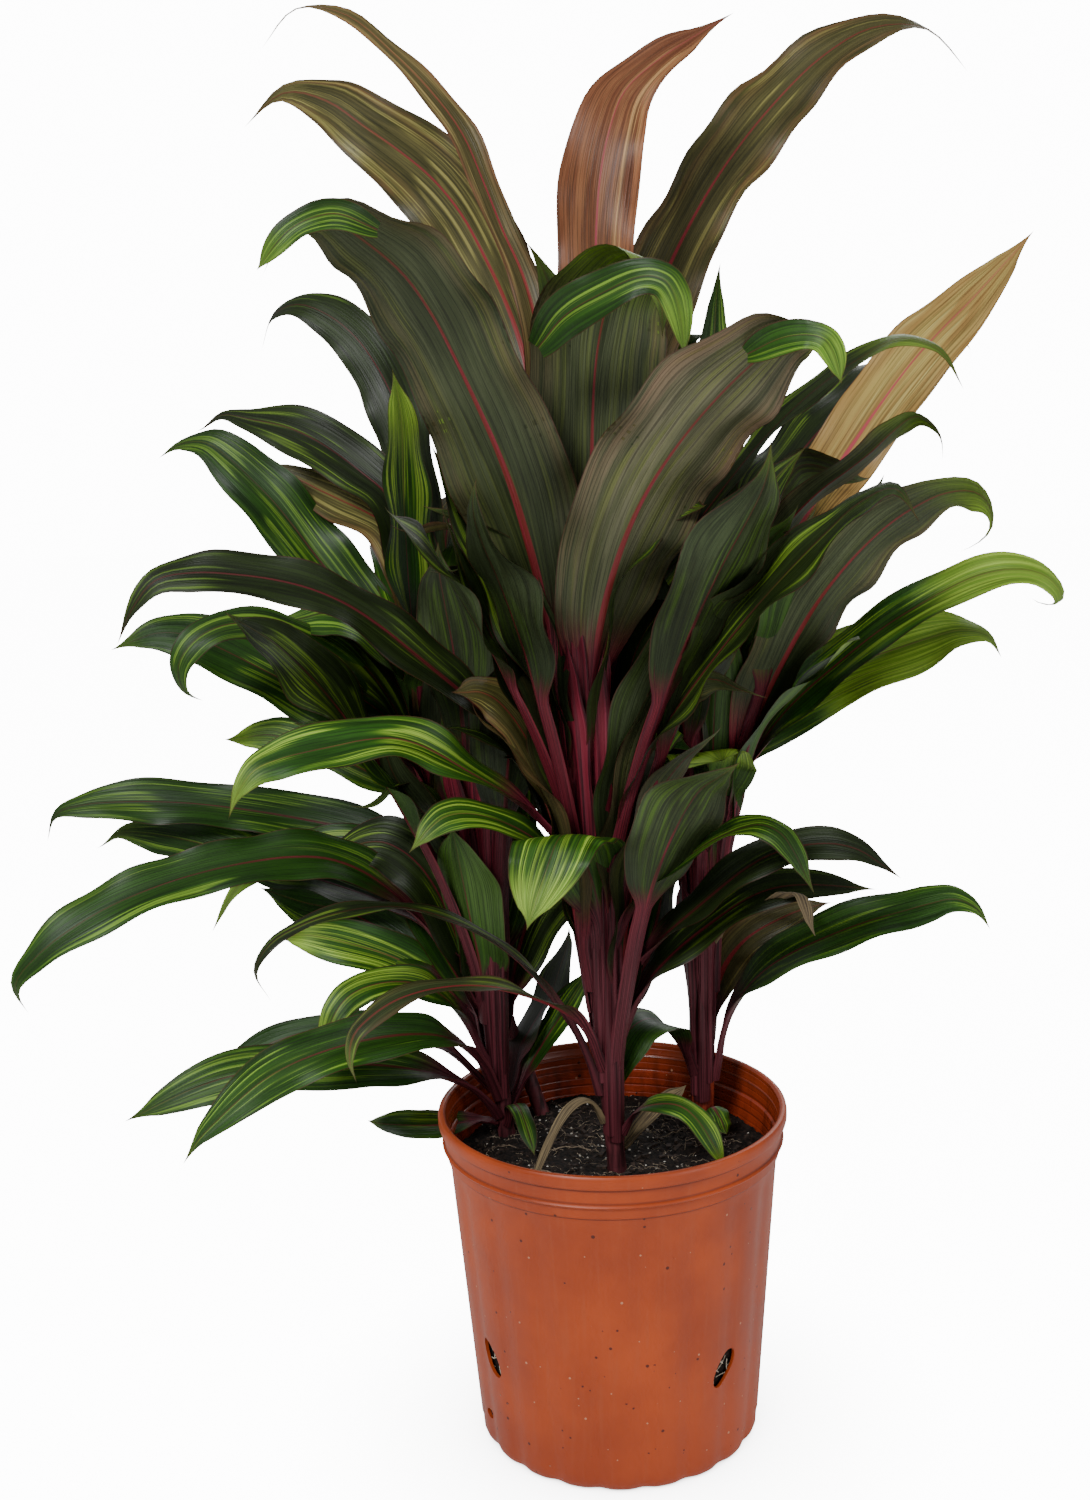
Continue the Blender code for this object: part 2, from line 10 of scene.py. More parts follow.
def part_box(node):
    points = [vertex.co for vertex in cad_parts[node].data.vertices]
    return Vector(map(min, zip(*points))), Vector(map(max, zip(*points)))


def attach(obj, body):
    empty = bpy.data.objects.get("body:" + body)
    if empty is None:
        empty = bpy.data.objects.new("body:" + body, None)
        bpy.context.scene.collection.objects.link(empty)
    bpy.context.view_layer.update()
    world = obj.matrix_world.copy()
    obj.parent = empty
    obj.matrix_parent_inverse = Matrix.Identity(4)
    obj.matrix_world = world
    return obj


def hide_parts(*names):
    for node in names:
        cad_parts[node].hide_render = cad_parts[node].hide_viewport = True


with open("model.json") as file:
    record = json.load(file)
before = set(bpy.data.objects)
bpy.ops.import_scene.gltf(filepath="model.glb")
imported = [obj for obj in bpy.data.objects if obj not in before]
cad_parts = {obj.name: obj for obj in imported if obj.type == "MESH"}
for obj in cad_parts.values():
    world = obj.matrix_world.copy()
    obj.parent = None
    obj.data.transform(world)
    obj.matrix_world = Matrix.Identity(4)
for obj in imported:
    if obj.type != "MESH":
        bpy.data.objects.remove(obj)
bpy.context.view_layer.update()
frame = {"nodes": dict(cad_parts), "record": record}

MM = 0.001
CM = 0.01


# ======================================================================================
# Pot: a ten-inch nursery pot, injection-moulded in terracotta-coloured polypropylene. Twenty
# shallow flutes stiffen the wall, two ridges and a rolled lip stiffen the rim, and four
# leaning oval holes and a small round one near the foot let the water out.
# ======================================================================================
def srgb(text):
    """An sRGB hex colour as linear RGBA."""
    parts = [int(text[k:k + 2], 16) / 255 for k in (1, 3, 5)]
    return tuple(c / 12.92 if c <= 0.04045 else ((c + 0.055) / 1.055) ** 2.4 for c in parts) + (1.0,)


def add(tree, kind, inputs=(), out=0, **settings):
    """Adds one node, sets it and links it; returns the output asked for, or all of them."""
    made = tree.nodes.new("ShaderNode" + kind)
    for name, value in settings.items():
        setattr(made, name, value)
    for key, value in inputs.items() if isinstance(inputs, dict) else enumerate(inputs):
        if isinstance(value, bpy.types.NodeSocket):
            tree.links.new(value, made.inputs[key])
        else:
            made.inputs[key].default_value = value
    return made.outputs if out is None else made.outputs[out]


SMOOTH = {"interpolation_type": "SMOOTHSTEP"}      # a Map Range that eases in and out


def new_material(name):
    """A new material, its node tree and its shader."""
    made = bpy.data.materials.new(name)
    made.use_nodes = True
    return made, made.node_tree, made.node_tree.nodes["Principled BSDF"]


def fresh(kind, **settings):
    """A new primitive with everything else deselected; returns its object."""
    bpy.ops.object.select_all(action="DESELECT")
    getattr(bpy.ops.mesh, f"primitive_{kind}_add")(**settings)
    return bpy.context.active_object


def edit(piece):
    """Opens one piece in edit mode, with everything else deselected."""
    bpy.ops.object.select_all(action="DESELECT")
    piece.select_set(True)
    bpy.context.view_layer.objects.active = piece
    bpy.ops.object.mode_set(mode="EDIT")


def leave():
    """Leaves edit mode."""
    bpy.ops.object.mode_set(mode="OBJECT")


def face_outwards():
    """Turns all faces of the piece in edit mode outwards, and leaves edit mode."""
    bpy.ops.mesh.select_all(action="SELECT")
    bpy.ops.mesh.normals_make_consistent(inside=False)
    leave()


def select_points(piece, test):
    """In edit mode, selects the vertices whose place passes the test."""
    leave()
    mesh = piece.data
    for part in (mesh.vertices, mesh.edges, mesh.polygons):
        part.foreach_set("select", [False] * len(part))
    mesh.vertices.foreach_set("select", [bool(test(v.co)) for v in mesh.vertices])
    bpy.ops.object.mode_set(mode="EDIT")
    bpy.ops.mesh.select_mode(type="VERT")


def settle(piece, name, material, angle):
    """Names a piece, applies its place and modifiers, shades it and seats it on the frame."""
    bpy.ops.object.select_all(action="DESELECT")
    piece.select_set(True)
    bpy.context.view_layer.objects.active = piece
    bpy.ops.object.transform_apply(location=True, rotation=True, scale=True)
    for modifier in list(piece.modifiers):
        bpy.ops.object.modifier_apply(modifier=modifier.name)
    bpy.ops.object.shade_smooth_by_angle(angle=math.radians(angle))
    piece.name = piece.data.name = name
    piece.data.materials.clear()
    piece.data.materials.append(material)
    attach(piece, "root")
    return piece


pot_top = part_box("pot")[1]
RIM_R = pot_top.x
POT_H = pot_top.z
FOOT_R = RIM_R - 23.5 * MM
WALL_TOP_R = RIM_R - 4.5 * MM       # where the wall's slope would reach the rim's height
WALL = 2.4 * MM
FLUTES = 20
FLUTE_DEPTH = 1.3 * MM
FLUTE_TOP = 0.216
FLUTE_FADE = 0.012
SCALLOP_Z = 0.03                    # below this the flutes deepen into the scalloped foot
POT_SIDES = 240
FLOOR_R = FOOT_R - 6 * MM           # flat disc that the pot stands on


def wall_radius(z):
    """Radius of the plain sloping wall, outside."""
    return FOOT_R + (WALL_TOP_R - FOOT_R) * z / POT_H


def flute(z, angle):
    """How far the wall sinks in at a height and an angle."""
    fade = min(1.0, max(0.0, (FLUTE_TOP - z) / FLUTE_FADE))
    deep = FLUTE_DEPTH * (1.0 + 0.7 * max(0.0, 1 - z / SCALLOP_Z))
    return fade * deep * (0.5 - 0.5 * math.cos(FLUTES * angle)) ** 2.2


def mould_pot():
    """Wall, rim and floor, raised ring by ring: up the outside, over the lip, down the inside."""
    outside = [(0.0015, FOOT_R - 0.0022), (0.0035, FOOT_R - 0.0008)]
    outside += [(z, wall_radius(z)) for z in (0.007, 0.012, 0.020, 0.060, 0.110, 0.160, 0.204, 0.210, 0.2155)]
    outside += [(z, RIM_R - back) for z, back in (
        (0.2166, 0.0068), (0.2175, 0.0058), (0.2245, 0.0053), (0.2254, 0.0044), (0.2261, 0.0029),
        (0.2269, 0.0024), (0.2278, 0.0029), (0.2285, 0.0040), (0.2300, 0.0043), (0.2382, 0.0036),
        (0.2394, 0.0033), (0.2399, 0.0018), (0.2408, 0.0006), (0.2430, 0), (0.2470, 0),
        (0.2488, 0.0004), (0.2497, 0.0012), (POT_H, 0.0022))]
    inside = [(z, RIM_R - back) for z, back in (
        (POT_H, 0.0036), (0.2495, 0.0046), (0.2484, 0.0054), (0.2400, 0.0060), (0.2386, 0.0068),
        (0.2300, 0.0066), (0.2275, 0.0072), (0.2262, 0.0086))]
    inside += [(z, wall_radius(z) - WALL) for z in (0.217, 0.204, 0.110, 0.020, 0.006)]
    inside.append((0.004, wall_radius(0.006) - WALL - 0.003))
    pot = fresh("circle", vertices=POT_SIDES, radius=FLOOR_R, fill_type="NOTHING")
    edit(pot)
    bpy.ops.mesh.select_all(action="SELECT")
    z_now, r_now = 0.0, FLOOR_R
    for z, r in outside + inside:
        bpy.ops.mesh.extrude_region_move(TRANSFORM_OT_translate={"value": (0, 0, z - z_now)})
        bpy.ops.transform.resize(value=(r / r_now, r / r_now, 1), center_override=(0, 0, 0))
        z_now, r_now = z, r
    bpy.ops.mesh.edge_face_add()
    select_points(pot, lambda p: p.z < 1e-6)
    bpy.ops.mesh.edge_face_add()
    face_outwards()
    for v in pot.data.vertices:
        angle = math.atan2(v.co.y, v.co.x)
        reach = math.hypot(v.co.x, v.co.y)
        scale = 1 - flute(v.co.z, angle) / reach if reach > 0.05 else 1
        v.co.x *= scale
        v.co.y *= scale
    return pot


HOLE_AZIMUTHS = (313, 214, 133, 34)
HOLE_Z = 0.082
HOLE_WIDTH = 18 * MM
HOLE_HEIGHT = 26 * MM
HOLE_LEAN = 5.5 * MM                # how far a hole's top leans, by turns left and right
WEEP_HOLE = (205, 0.0275, 8 * MM, 8 * MM, 0)
PUNCH_R, PUNCH_REACH = 0.1065, 0.037


def punch_holes(pot):
    """Four leaning oval drain holes, and a small round one low down at the left."""
    holes = [(azimuth, HOLE_Z, HOLE_WIDTH, HOLE_HEIGHT, HOLE_LEAN * (-1) ** k)
             for k, azimuth in enumerate(HOLE_AZIMUTHS)]
    for azimuth, z, width, height, lean in holes + [WEEP_HOLE]:
        turn = math.radians(azimuth)
        out = Vector((math.cos(turn), math.sin(turn), 0))
        across = Vector((-math.sin(turn), math.cos(turn), 0))
        cutter = fresh("cylinder", vertices=40, radius=0.5, depth=1)
        for v in cutter.data.vertices:
            x, y, deep = v.co
            v.co = (out * (PUNCH_R + PUNCH_REACH * deep) + across * (x * width + 2 * y * lean)
                    + Vector((0, 0, z + y * height)))
        edit(cutter)
        face_outwards()
        cut = pot.modifiers.new("hole", "BOOLEAN")
        cut.object = cutter
        cut.operation = "DIFFERENCE"
        bpy.context.view_layer.objects.active = pot
        bpy.ops.object.modifier_apply(modifier=cut.name)
        bpy.data.objects.remove(cutter, do_unlink=True)


POT_LIT, POT_DEEP, POT_RUBBED = "#b64a18", "#9a3b13", "#a8512e"
GROOVES = (0.2166, 0.2290, 0.2386)  # heights of the rim's grooves
MOULD_RING = 6 * MM                 # step of the rings that the mould left inside


def terracotta_plastic():
    """Polypropylene, moulded and handled: a satin skin with fine vertical drag marks, a grey
    bloom where it has been rubbed, a darker inside that is painted shade with stains in it,
    painted shade along the rim's grooves, and specks of dried potting mix."""
    made, tree, shader = new_material("terracotta_polypropylene")
    place = add(tree, "TexCoord", out="Object")
    z = add(tree, "SeparateXYZ", (place,), 2)
    cloud = add(tree, "TexNoise", {"Vector": place, "Scale": 14.0, "Detail": 4.0})
    drag_map = add(tree, "Mapping", {"Vector": place, "Scale": (220, 220, 6)})
    drag = add(tree, "TexNoise", {"Vector": drag_map, "Scale": 1.0, "Detail": 3.0})
    level = add(tree, "Mapping", {"Vector": place, "Scale": (1, 1, 0)})
    facing = add(tree, "NewGeometry", out="Normal")
    outward = add(tree, "VectorMath", (facing, level), 1, operation="DOT_PRODUCT")
    within = add(tree, "MapRange", (outward, -0.02, -0.06), **SMOOTH)
    # fairly even colour, a little browner towards the foot
    even = add(tree, "MapRange", (cloud, 0.30, 0.70), **SMOOTH)
    base = add(tree, "Mix", {0: even, 6: srgb(POT_DEEP), 7: srgb(POT_LIT)}, 2, data_type="RGBA")
    rubbed = add(tree, "MapRange", (drag, 0.50, 0.80, 0.0, 0.35), **SMOOTH)
    base = add(tree, "Mix", {0: rubbed, 6: base, 7: srgb(POT_RUBBED)}, 2, data_type="RGBA")
    low = add(tree, "MapRange", (z, 0.10, 0.0, 0.0, 0.40), **SMOOTH)
    base = add(tree, "Mix", {0: low, 6: base, 7: srgb(POT_DEEP)}, 2, data_type="RGBA")
    # inside: painted shade, darker than the outside, with stains that ran down from the
    # watering line
    stain_map = add(tree, "Mapping", {"Vector": place, "Scale": (60, 60, 18)})
    stain = add(tree, "TexNoise", {"Vector": stain_map, "Scale": 1.0, "Detail": 5.0})
    stain = add(tree, "MapRange", (stain, 0.42, 0.62), **SMOOTH)
    inner = add(tree, "Mix", {0: stain, 6: srgb("#9a371b"), 7: srgb("#682410")}, 2, data_type="RGBA")
    # painted light: the inner wall grows lighter towards the lip, where less shade falls
    rim_painted_light = add(tree, "MapRange", (z, 0.222, 0.242, 0.0, 0.5), **SMOOTH)
    inner = add(tree, "Mix", {0: rim_painted_light, 6: inner, 7: srgb("#96401e")}, 2, data_type="RGBA")
    shaded = add(tree, "Math", (within, 0.95), operation="MULTIPLY")
    base = add(tree, "Mix", {0: shaded, 6: base, 7: inner}, 2, data_type="RGBA")
    # painted shade: dark lines along the grooves of the rim
    for groove in GROOVES:
        away = add(tree, "Math", (z, groove), operation="SUBTRACT")
        away = add(tree, "Math", (away,), operation="ABSOLUTE")
        line = add(tree, "MapRange", (away, 0.0011, 0.0003, 0.0, 0.55), **SMOOTH)
        base = add(tree, "Mix", {0: line, 6: base, 7: srgb("#5a200f")}, 2, data_type="RGBA")
    # dried splashes of potting mix, a millimetre across, most of them low down
    speck = add(tree, "TexVoronoi", {"Vector": place, "Scale": 200.0}, None, feature="F1")
    chosen = add(tree, "SeparateColor", (speck["Color"],), None)
    lower = add(tree, "MapRange", (z, 0.20, 0.03, 0.93, 0.80))
    for channel, hue, size, strength in ((0, "#451a10", 0.30, 0.9), (1, "#d29a78", 0.22, 0.7)):
        grown = add(tree, "MapRange", (chosen[channel], lower, 1.0, 0.0, size))
        edge = add(tree, "Math", (grown, speck["Distance"]), operation="SUBTRACT")
        spot = add(tree, "MapRange", (edge, 0.0, 0.05, 0.0, strength), **SMOOTH)
        base = add(tree, "Mix", {0: spot, 6: base, 7: srgb(hue)}, 2, data_type="RGBA")
        crust = spot if channel == 0 else add(tree, "Math", (crust, spot), operation="ADD")
    tree.links.new(base, shader.inputs["Base Color"])
    rough = add(tree, "MapRange", (cloud, 0.3, 0.7, 0.36, 0.50))
    gloss = add(tree, "Math", (within, 0.14), operation="MULTIPLY")
    tree.links.new(add(tree, "Math", (rough, gloss), operation="SUBTRACT"), shader.inputs["Roughness"])
    shader.inputs["IOR"].default_value = 1.49
    shader.inputs["Specular IOR Level"].default_value = 0.42
    scratch = add(tree, "Bump", {"Height": drag, "Distance": 0.15 * MM, "Strength": 0.5})
    grain = add(tree, "TexNoise", {"Vector": place, "Scale": 900.0, "Detail": 2.0})
    grain = add(tree, "Bump", {"Height": grain, "Distance": 0.06 * MM, "Strength": 0.5, "Normal": scratch})
    # the mould's rings show inside
    step = add(tree, "Math", (z, MOULD_RING / 2), operation="PINGPONG")
    ring = add(tree, "MapRange", (step, 0.0, 0.0010), **SMOOTH)
    ring = add(tree, "Math", (ring, within), operation="MULTIPLY")
    ring = add(tree, "Bump", {"Height": ring, "Distance": 0.5 * MM, "Strength": 0.5, "Normal": grain})
    raised = add(tree, "Bump", {"Height": crust, "Distance": 0.4 * MM, "Strength": 0.6, "Normal": ring})
    tree.links.new(raised, shader.inputs["Normal"])
    return made


pot = mould_pot()
punch_holes(pot)
settle(pot, "nursery_pot", terracotta_plastic(), 30)
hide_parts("pot")

# ======================================================================================
# Potting mix: moist peat, composted bark and perlite, poured in and watered, so that its
# top is lumpy, sinks a little by the wall and carries loose chips, fibres and white grains.
# ======================================================================================
SOIL_Z = 0.208
SOIL_R = wall_radius(SOIL_Z - 2 * MM) - WALL - 0.5 * MM
SOIL_STEPS = 170
SOIL_SINKS = ((-0.02, 0.992), (-0.170, 0.86))       # drop and scale of each ring below the top


def soil_height(x, y):
    """Lumpy top of the potting mix."""
    place = Vector((x, y, 0))
    lumps = 3.0 * MM * noise.noise(place * 38) + 2.0 * MM * noise.noise(place * 110)
    crumbs = 1.3 * MM * noise.noise(place * 300) + 0.7 * MM * noise.noise(place * 750)
    dome = 3.0 * MM * (1 - (x * x + y * y) / SOIL_R ** 2)
    return SOIL_Z + lumps + crumbs + dome


def fill_soil():
    """A disc with a lumpy top, drawn down into a plug that fills the pot."""
    soil = fresh("grid", x_subdivisions=SOIL_STEPS, y_subdivisions=SOIL_STEPS, size=2)
    for v in soil.data.vertices:
        a, b = v.co.x, v.co.y
        x = a * math.sqrt(1 - b * b / 2) * SOIL_R
        y = b * math.sqrt(1 - a * a / 2) * SOIL_R
        angle = math.atan2(y, x)
        reach = math.hypot(x, y)
        inward = flute(SOIL_Z - 0.004, angle) * (reach / SOIL_R) ** 8
        scale = 1 - inward / reach if reach > 0.01 else 1
        v.co = (x * scale, y * scale, soil_height(x, y))
    edit(soil)
    bpy.ops.mesh.select_all(action="DESELECT")
    bpy.ops.mesh.select_mode(type="EDGE")
    bpy.ops.mesh.select_non_manifold()
    for drop, scale in SOIL_SINKS:
        bpy.ops.mesh.extrude_region_move(TRANSFORM_OT_translate={"value": (0, 0, drop)})
        bpy.ops.transform.resize(value=(scale, scale, 1), center_override=(0, 0, 0))
    bpy.ops.mesh.edge_face_add()
    face_outwards()
    return soil


def peat():
    """Moist peat and bark: almost black, matt, with brown bark crumbs and pale dust."""
    made, tree, shader = new_material("moist_potting_mix")
    place = add(tree, "TexCoord", out="Object")
    crumb = add(tree, "TexNoise", {"Vector": place, "Scale": 320.0, "Detail": 6.0, "Roughness": 0.7})
    damp = add(tree, "MapRange", (crumb, 0.40, 0.62), **SMOOTH)
    dry = add(tree, "MapRange", (crumb, 0.62, 0.80), **SMOOTH)
    base = add(tree, "Mix", {0: damp, 6: srgb("#090706"), 7: srgb("#2b211b")}, 2, data_type="RGBA")
    base = add(tree, "Mix", {0: dry, 6: base, 7: srgb("#7d7166")}, 2, data_type="RGBA")
    bits = add(tree, "TexVoronoi", {"Vector": place, "Scale": 260.0}, None)
    pick = add(tree, "SeparateColor", (bits["Color"],))
    few = add(tree, "MapRange", (pick, 0.93, 0.95))
    round_off = add(tree, "MapRange", (bits["Distance"], 0.34, 0.22))
    pale = add(tree, "Math", (few, round_off), operation="MULTIPLY")
    base = add(tree, "Mix", {0: pale, 6: base, 7: srgb("#b9b2a6")}, 2, data_type="RGBA")
    tree.links.new(base, shader.inputs["Base Color"])
    shader.inputs["Roughness"].default_value = 0.86
    shader.inputs["Specular IOR Level"].default_value = 0.25
    bump = add(tree, "Bump", {"Height": crumb, "Distance": 1.6 * MM, "Strength": 0.9})
    tree.links.new(bump, shader.inputs["Normal"])
    return made


def crumb_material(name, dark, light, rough):
    """A small loose grain: matt, mottled between two colours."""
    made, tree, shader = new_material(name)
    place = add(tree, "TexCoord", out="Object")
    cloud = add(tree, "TexNoise", {"Vector": place, "Scale": 500.0, "Detail": 4.0})
    patch = add(tree, "MapRange", (cloud, 0.35, 0.65))
    tree.links.new(add(tree, "Mix", {0: patch, 6: srgb(dark), 7: srgb(light)}, 2, data_type="RGBA"),
                   shader.inputs["Base Color"])
    shader.inputs["Roughness"].default_value = rough
    bump = add(tree, "Bump", {"Height": cloud, "Distance": 0.4 * MM, "Strength": 0.8})
    tree.links.new(bump, shader.inputs["Normal"])
    return made


def new_piece(name, points, polygons):
    """An object with a mesh of the given points and faces."""
    mesh = bpy.data.meshes.new(name)
    mesh.from_pydata([tuple(point) for point in points], [], polygons)
    piece = bpy.data.objects.new(name, mesh)
    bpy.context.collection.objects.link(piece)
    return piece


def scatter(kind, count, name, material, across, stretch, seed, **primitive):
    """Many small grains strewn over the potting mix, joined into one piece."""
    draw = random.Random(seed)
    grain = fresh(kind, **primitive)
    shape = np.array([v.co for v in grain.data.vertices])
    faces = [tuple(p.vertices) for p in grain.data.polygons]
    bpy.data.objects.remove(grain, do_unlink=True)
    points, polygons = [], []
    for number in range(count):
        reach = (SOIL_R - 8 * MM) * math.sqrt(draw.random())
        angle = draw.uniform(0, 2 * math.pi)
        x, y = reach * math.cos(angle), reach * math.sin(angle)
        big = draw.uniform(*across)
        form = shape * np.array([big * draw.uniform(*stretch), big, big * draw.uniform(0.35, 0.8)])
        form = form * (1 + 0.25 * np.array([[noise.noise(Vector(p) * 2.3 + Vector((number, 0, 0)))]
                                            for p in shape]))
        turn = Matrix.Rotation(draw.uniform(0, 6.28), 3, "Z")
        tilt = turn @ Matrix.Rotation(draw.uniform(-0.5, 0.5), 3, "Y")
        form = form @ np.array(tilt).T + np.array([x, y, soil_height(x, y)])
        points.append(form)
        polygons += [tuple(number * len(shape) + k for k in face) for face in faces]
    settle(new_piece(name, np.concatenate(points), polygons), name, material, 50)


def strand_faces(first, steps):
    """Faces of a four-sided strand whose rings of points start at a given number."""
    last = first + 4 * (steps - 1)
    faces = [(ring + j, ring + (j + 1) % 4, ring + (j + 1) % 4 + 4, ring + j + 4)
             for ring in range(first, last, 4) for j in range(4)]
    return faces + [(first + 3, first + 2, first + 1, first), (last, last + 1, last + 2, last + 3)]


def strew_fibres(name, count, seed, lengths, thickness, material):
    """Coir and root fibres: thin bent hairs lying on the mix."""
    draw = random.Random(seed)
    points, polygons = [], []
    steps = 7
    for number in range(count):
        reach = (SOIL_R - 20 * MM) * math.sqrt(draw.random())
        angle = draw.uniform(0, 2 * math.pi)
        x, y = reach * math.cos(angle), reach * math.sin(angle)
        heading = draw.uniform(0, 2 * math.pi)
        bend = draw.uniform(-1.6, 1.6)
        length = draw.uniform(*lengths) * MM
        thin = draw.uniform(*thickness) * MM
        for k in range(steps):
            z = soil_height(x, y) + thin + 1.6 * MM * math.sin(math.pi * k / (steps - 1)) * draw.random()
            side = Vector((-math.sin(heading), math.cos(heading), 0)) * thin
            up = Vector((0, 0, thin))
            here = Vector((x, y, z))
            points += [here + side, here + up, here - side, here - up]
            x += length / steps * math.cos(heading)
            y += length / steps * math.sin(heading)
            heading += bend / steps
            if math.hypot(x, y) > SOIL_R - 3 * MM:      # turn away from the wall
                heading += math.pi / 2
        polygons += strand_faces(number * steps * 4, steps)
    settle(new_piece(name, points, polygons), name, material, 60)


def root_tangle(name, count, seed, material):
    """Pale roots that press against the wall and show in the drain holes."""
    draw = random.Random(seed)
    points, polygons = [], []
    steps = 8
    for number in range(count):
        turn = math.radians(HOLE_AZIMUTHS[number % 4])
        across, z = draw.uniform(-9, 9) * MM, HOLE_Z + draw.uniform(-11, 11) * MM
        heading, bend = draw.uniform(0, 2 * math.pi), draw.uniform(-2.6, 2.6)
        length, thin = draw.uniform(8, 17) * MM, draw.uniform(0.25, 0.55) * MM
        depth = WALL + draw.uniform(0.9, 2.2) * MM
        for k in range(steps):
            reach = wall_radius(z) - depth
            angle = turn + across / reach
            out = Vector((math.cos(angle), math.sin(angle), 0))
            side = Vector((-out.y, out.x, 0)) * -math.sin(heading) + Vector((0, 0, math.cos(heading)))
            here = out * reach + Vector((0, 0, z))
            points += [here + side * thin, here + out * thin, here - side * thin, here - out * thin]
            across += length / steps * math.cos(heading)
            z += length / steps * math.sin(heading)
            heading += bend / steps
        polygons += strand_faces(number * steps * 4, steps)
    piece = new_piece(name, points, polygons)
    edit(piece)
    face_outwards()
    settle(piece, name, material, 60)


soil = settle(fill_soil(), "potting_mix_top", peat(), 60)
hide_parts("potting_mix")
scatter("cube", 420, "bark_chips", crumb_material("composted_bark", "#120c09", "#3f2f24", 0.85),
        (1.2 * MM, 3.4 * MM), (1.2, 2.8), 5, size=1)
scatter("ico_sphere", 150, "perlite", crumb_material("expanded_perlite", "#a9a49a", "#dedad0", 0.9),
        (0.4 * MM, 1.1 * MM), (0.9, 1.3), 6, subdivisions=1, radius=1)
strew_fibres("coir_fibres", 400, 7, (3, 14), (0.10, 0.26),
             crumb_material("dry_fibre", "#4a3c2e", "#b5a48c", 0.8))
strew_fibres("pale_roots", 9, 11, (22, 44), (0.35, 0.65),
             crumb_material("dry_root", "#5d4e3f", "#94836d", 0.75))
root_tangle("hole_roots", 56, 13, crumb_material("live_root", "#8d7f6a", "#e2d8c4", 0.6))

# ======================================================================================
# Canes: the woody stems, one for each CAD cane. Each leaf that has dropped left a ring
# around the bark, and the bark is purple-brown, redder on the cane at the right.
# ======================================================================================
CANE_SIDES = 24
CANE_STEPS = 150
SCAR_STEP = 9 * MM                  # from one leaf scar to the next


def cane_rings(node):
    """Centres and radius of a CAD cane's cross-sections, foot first."""
    points = np.unique(np.round([v.co for v in frame["nodes"][node].data.vertices], 6), axis=0)
    points = points[np.argsort(points[:, 2])]
    breaks = np.where(np.diff(points[:, 2]) > 5 * MM)[0] + 1
    groups = np.split(points, breaks)
    centres = np.array([g.mean(axis=0) for g in groups])
    radius = max(np.linalg.norm(g - g.mean(axis=0), axis=1).max() for g in groups)
    return centres, radius


def curve_through(points, count):
    """Values read at equal steps of a smooth curve through the rows of points."""
    rows = np.asarray(points, float)
    ends = np.vstack([2 * rows[0] - rows[1], rows, 2 * rows[-1] - rows[-2]])
    at = np.linspace(0, len(rows) - 1, count)
    k = np.minimum(at.astype(int), len(rows) - 2)
    t = (at - k)[:, None]
    a, b, c, d = ends[k], ends[k + 1], ends[k + 2], ends[k + 3]
    return 0.5 * (2 * b + (c - a) * t + (2 * a - 5 * b + 4 * c - d) * t ** 2
                  + (3 * b - a - 3 * c + d) * t ** 3)


def bark():
    """Young bark: smooth, satin, purple-brown, ringed by leaf scars, with corky vertical
    streaks; rust-coloured on the cane at the right."""
    made, tree, shader = new_material("ringed_bark")
    place = add(tree, "TexCoord", out="Object")
    x, _, z = add(tree, "SeparateXYZ", (place,), None)
    streak_map = add(tree, "Mapping", {"Vector": place, "Scale": (260, 260, 30)})
    streak = add(tree, "TexNoise", {"Vector": streak_map, "Scale": 1.0, "Detail": 4.0})
    corky = add(tree, "MapRange", (streak, 0.35, 0.70), **SMOOTH)
    base = add(tree, "Mix", {0: corky, 6: srgb("#2f1216"), 7: srgb("#6b343a")}, 2, data_type="RGBA")
    rust = add(tree, "Mix", {0: corky, 6: srgb("#5f1c10"), 7: srgb("#a5442a")}, 2, data_type="RGBA")
    right = add(tree, "MapRange", (x, 0.045, 0.06), **SMOOTH)
    low = add(tree, "MapRange", (z, 0.46, 0.40), **SMOOTH)
    rusty = add(tree, "Math", (right, low), operation="MULTIPLY")
    base = add(tree, "Mix", {0: rusty, 6: base, 7: rust}, 2, data_type="RGBA")
    high = add(tree, "MapRange", (z, 0.44, 0.56, 0.0, 0.8), **SMOOTH)
    base = add(tree, "Mix", {0: high, 6: base, 7: srgb("#7a1a34")}, 2, data_type="RGBA")
    wander = add(tree, "Math", (streak, 0.002, z), operation="MULTIPLY_ADD")
    scar = add(tree, "Math", (wander, SCAR_STEP / 2), operation="PINGPONG")
    ring = add(tree, "MapRange", (scar, 0.0010, 0.0002, 0.0, 0.16), **SMOOTH)
    base = add(tree, "Mix", {0: ring, 6: base, 7: srgb("#1f0d0f")}, 2, data_type="RGBA")
    tree.links.new(base, shader.inputs["Base Color"])
    shader.inputs["Roughness"].default_value = 0.5
    shader.inputs["Specular IOR Level"].default_value = 0.35
    bump = add(tree, "Bump", {"Height": streak, "Distance": 0.5 * MM, "Strength": 0.6})
    tree.links.new(bump, shader.inputs["Normal"])
    return made


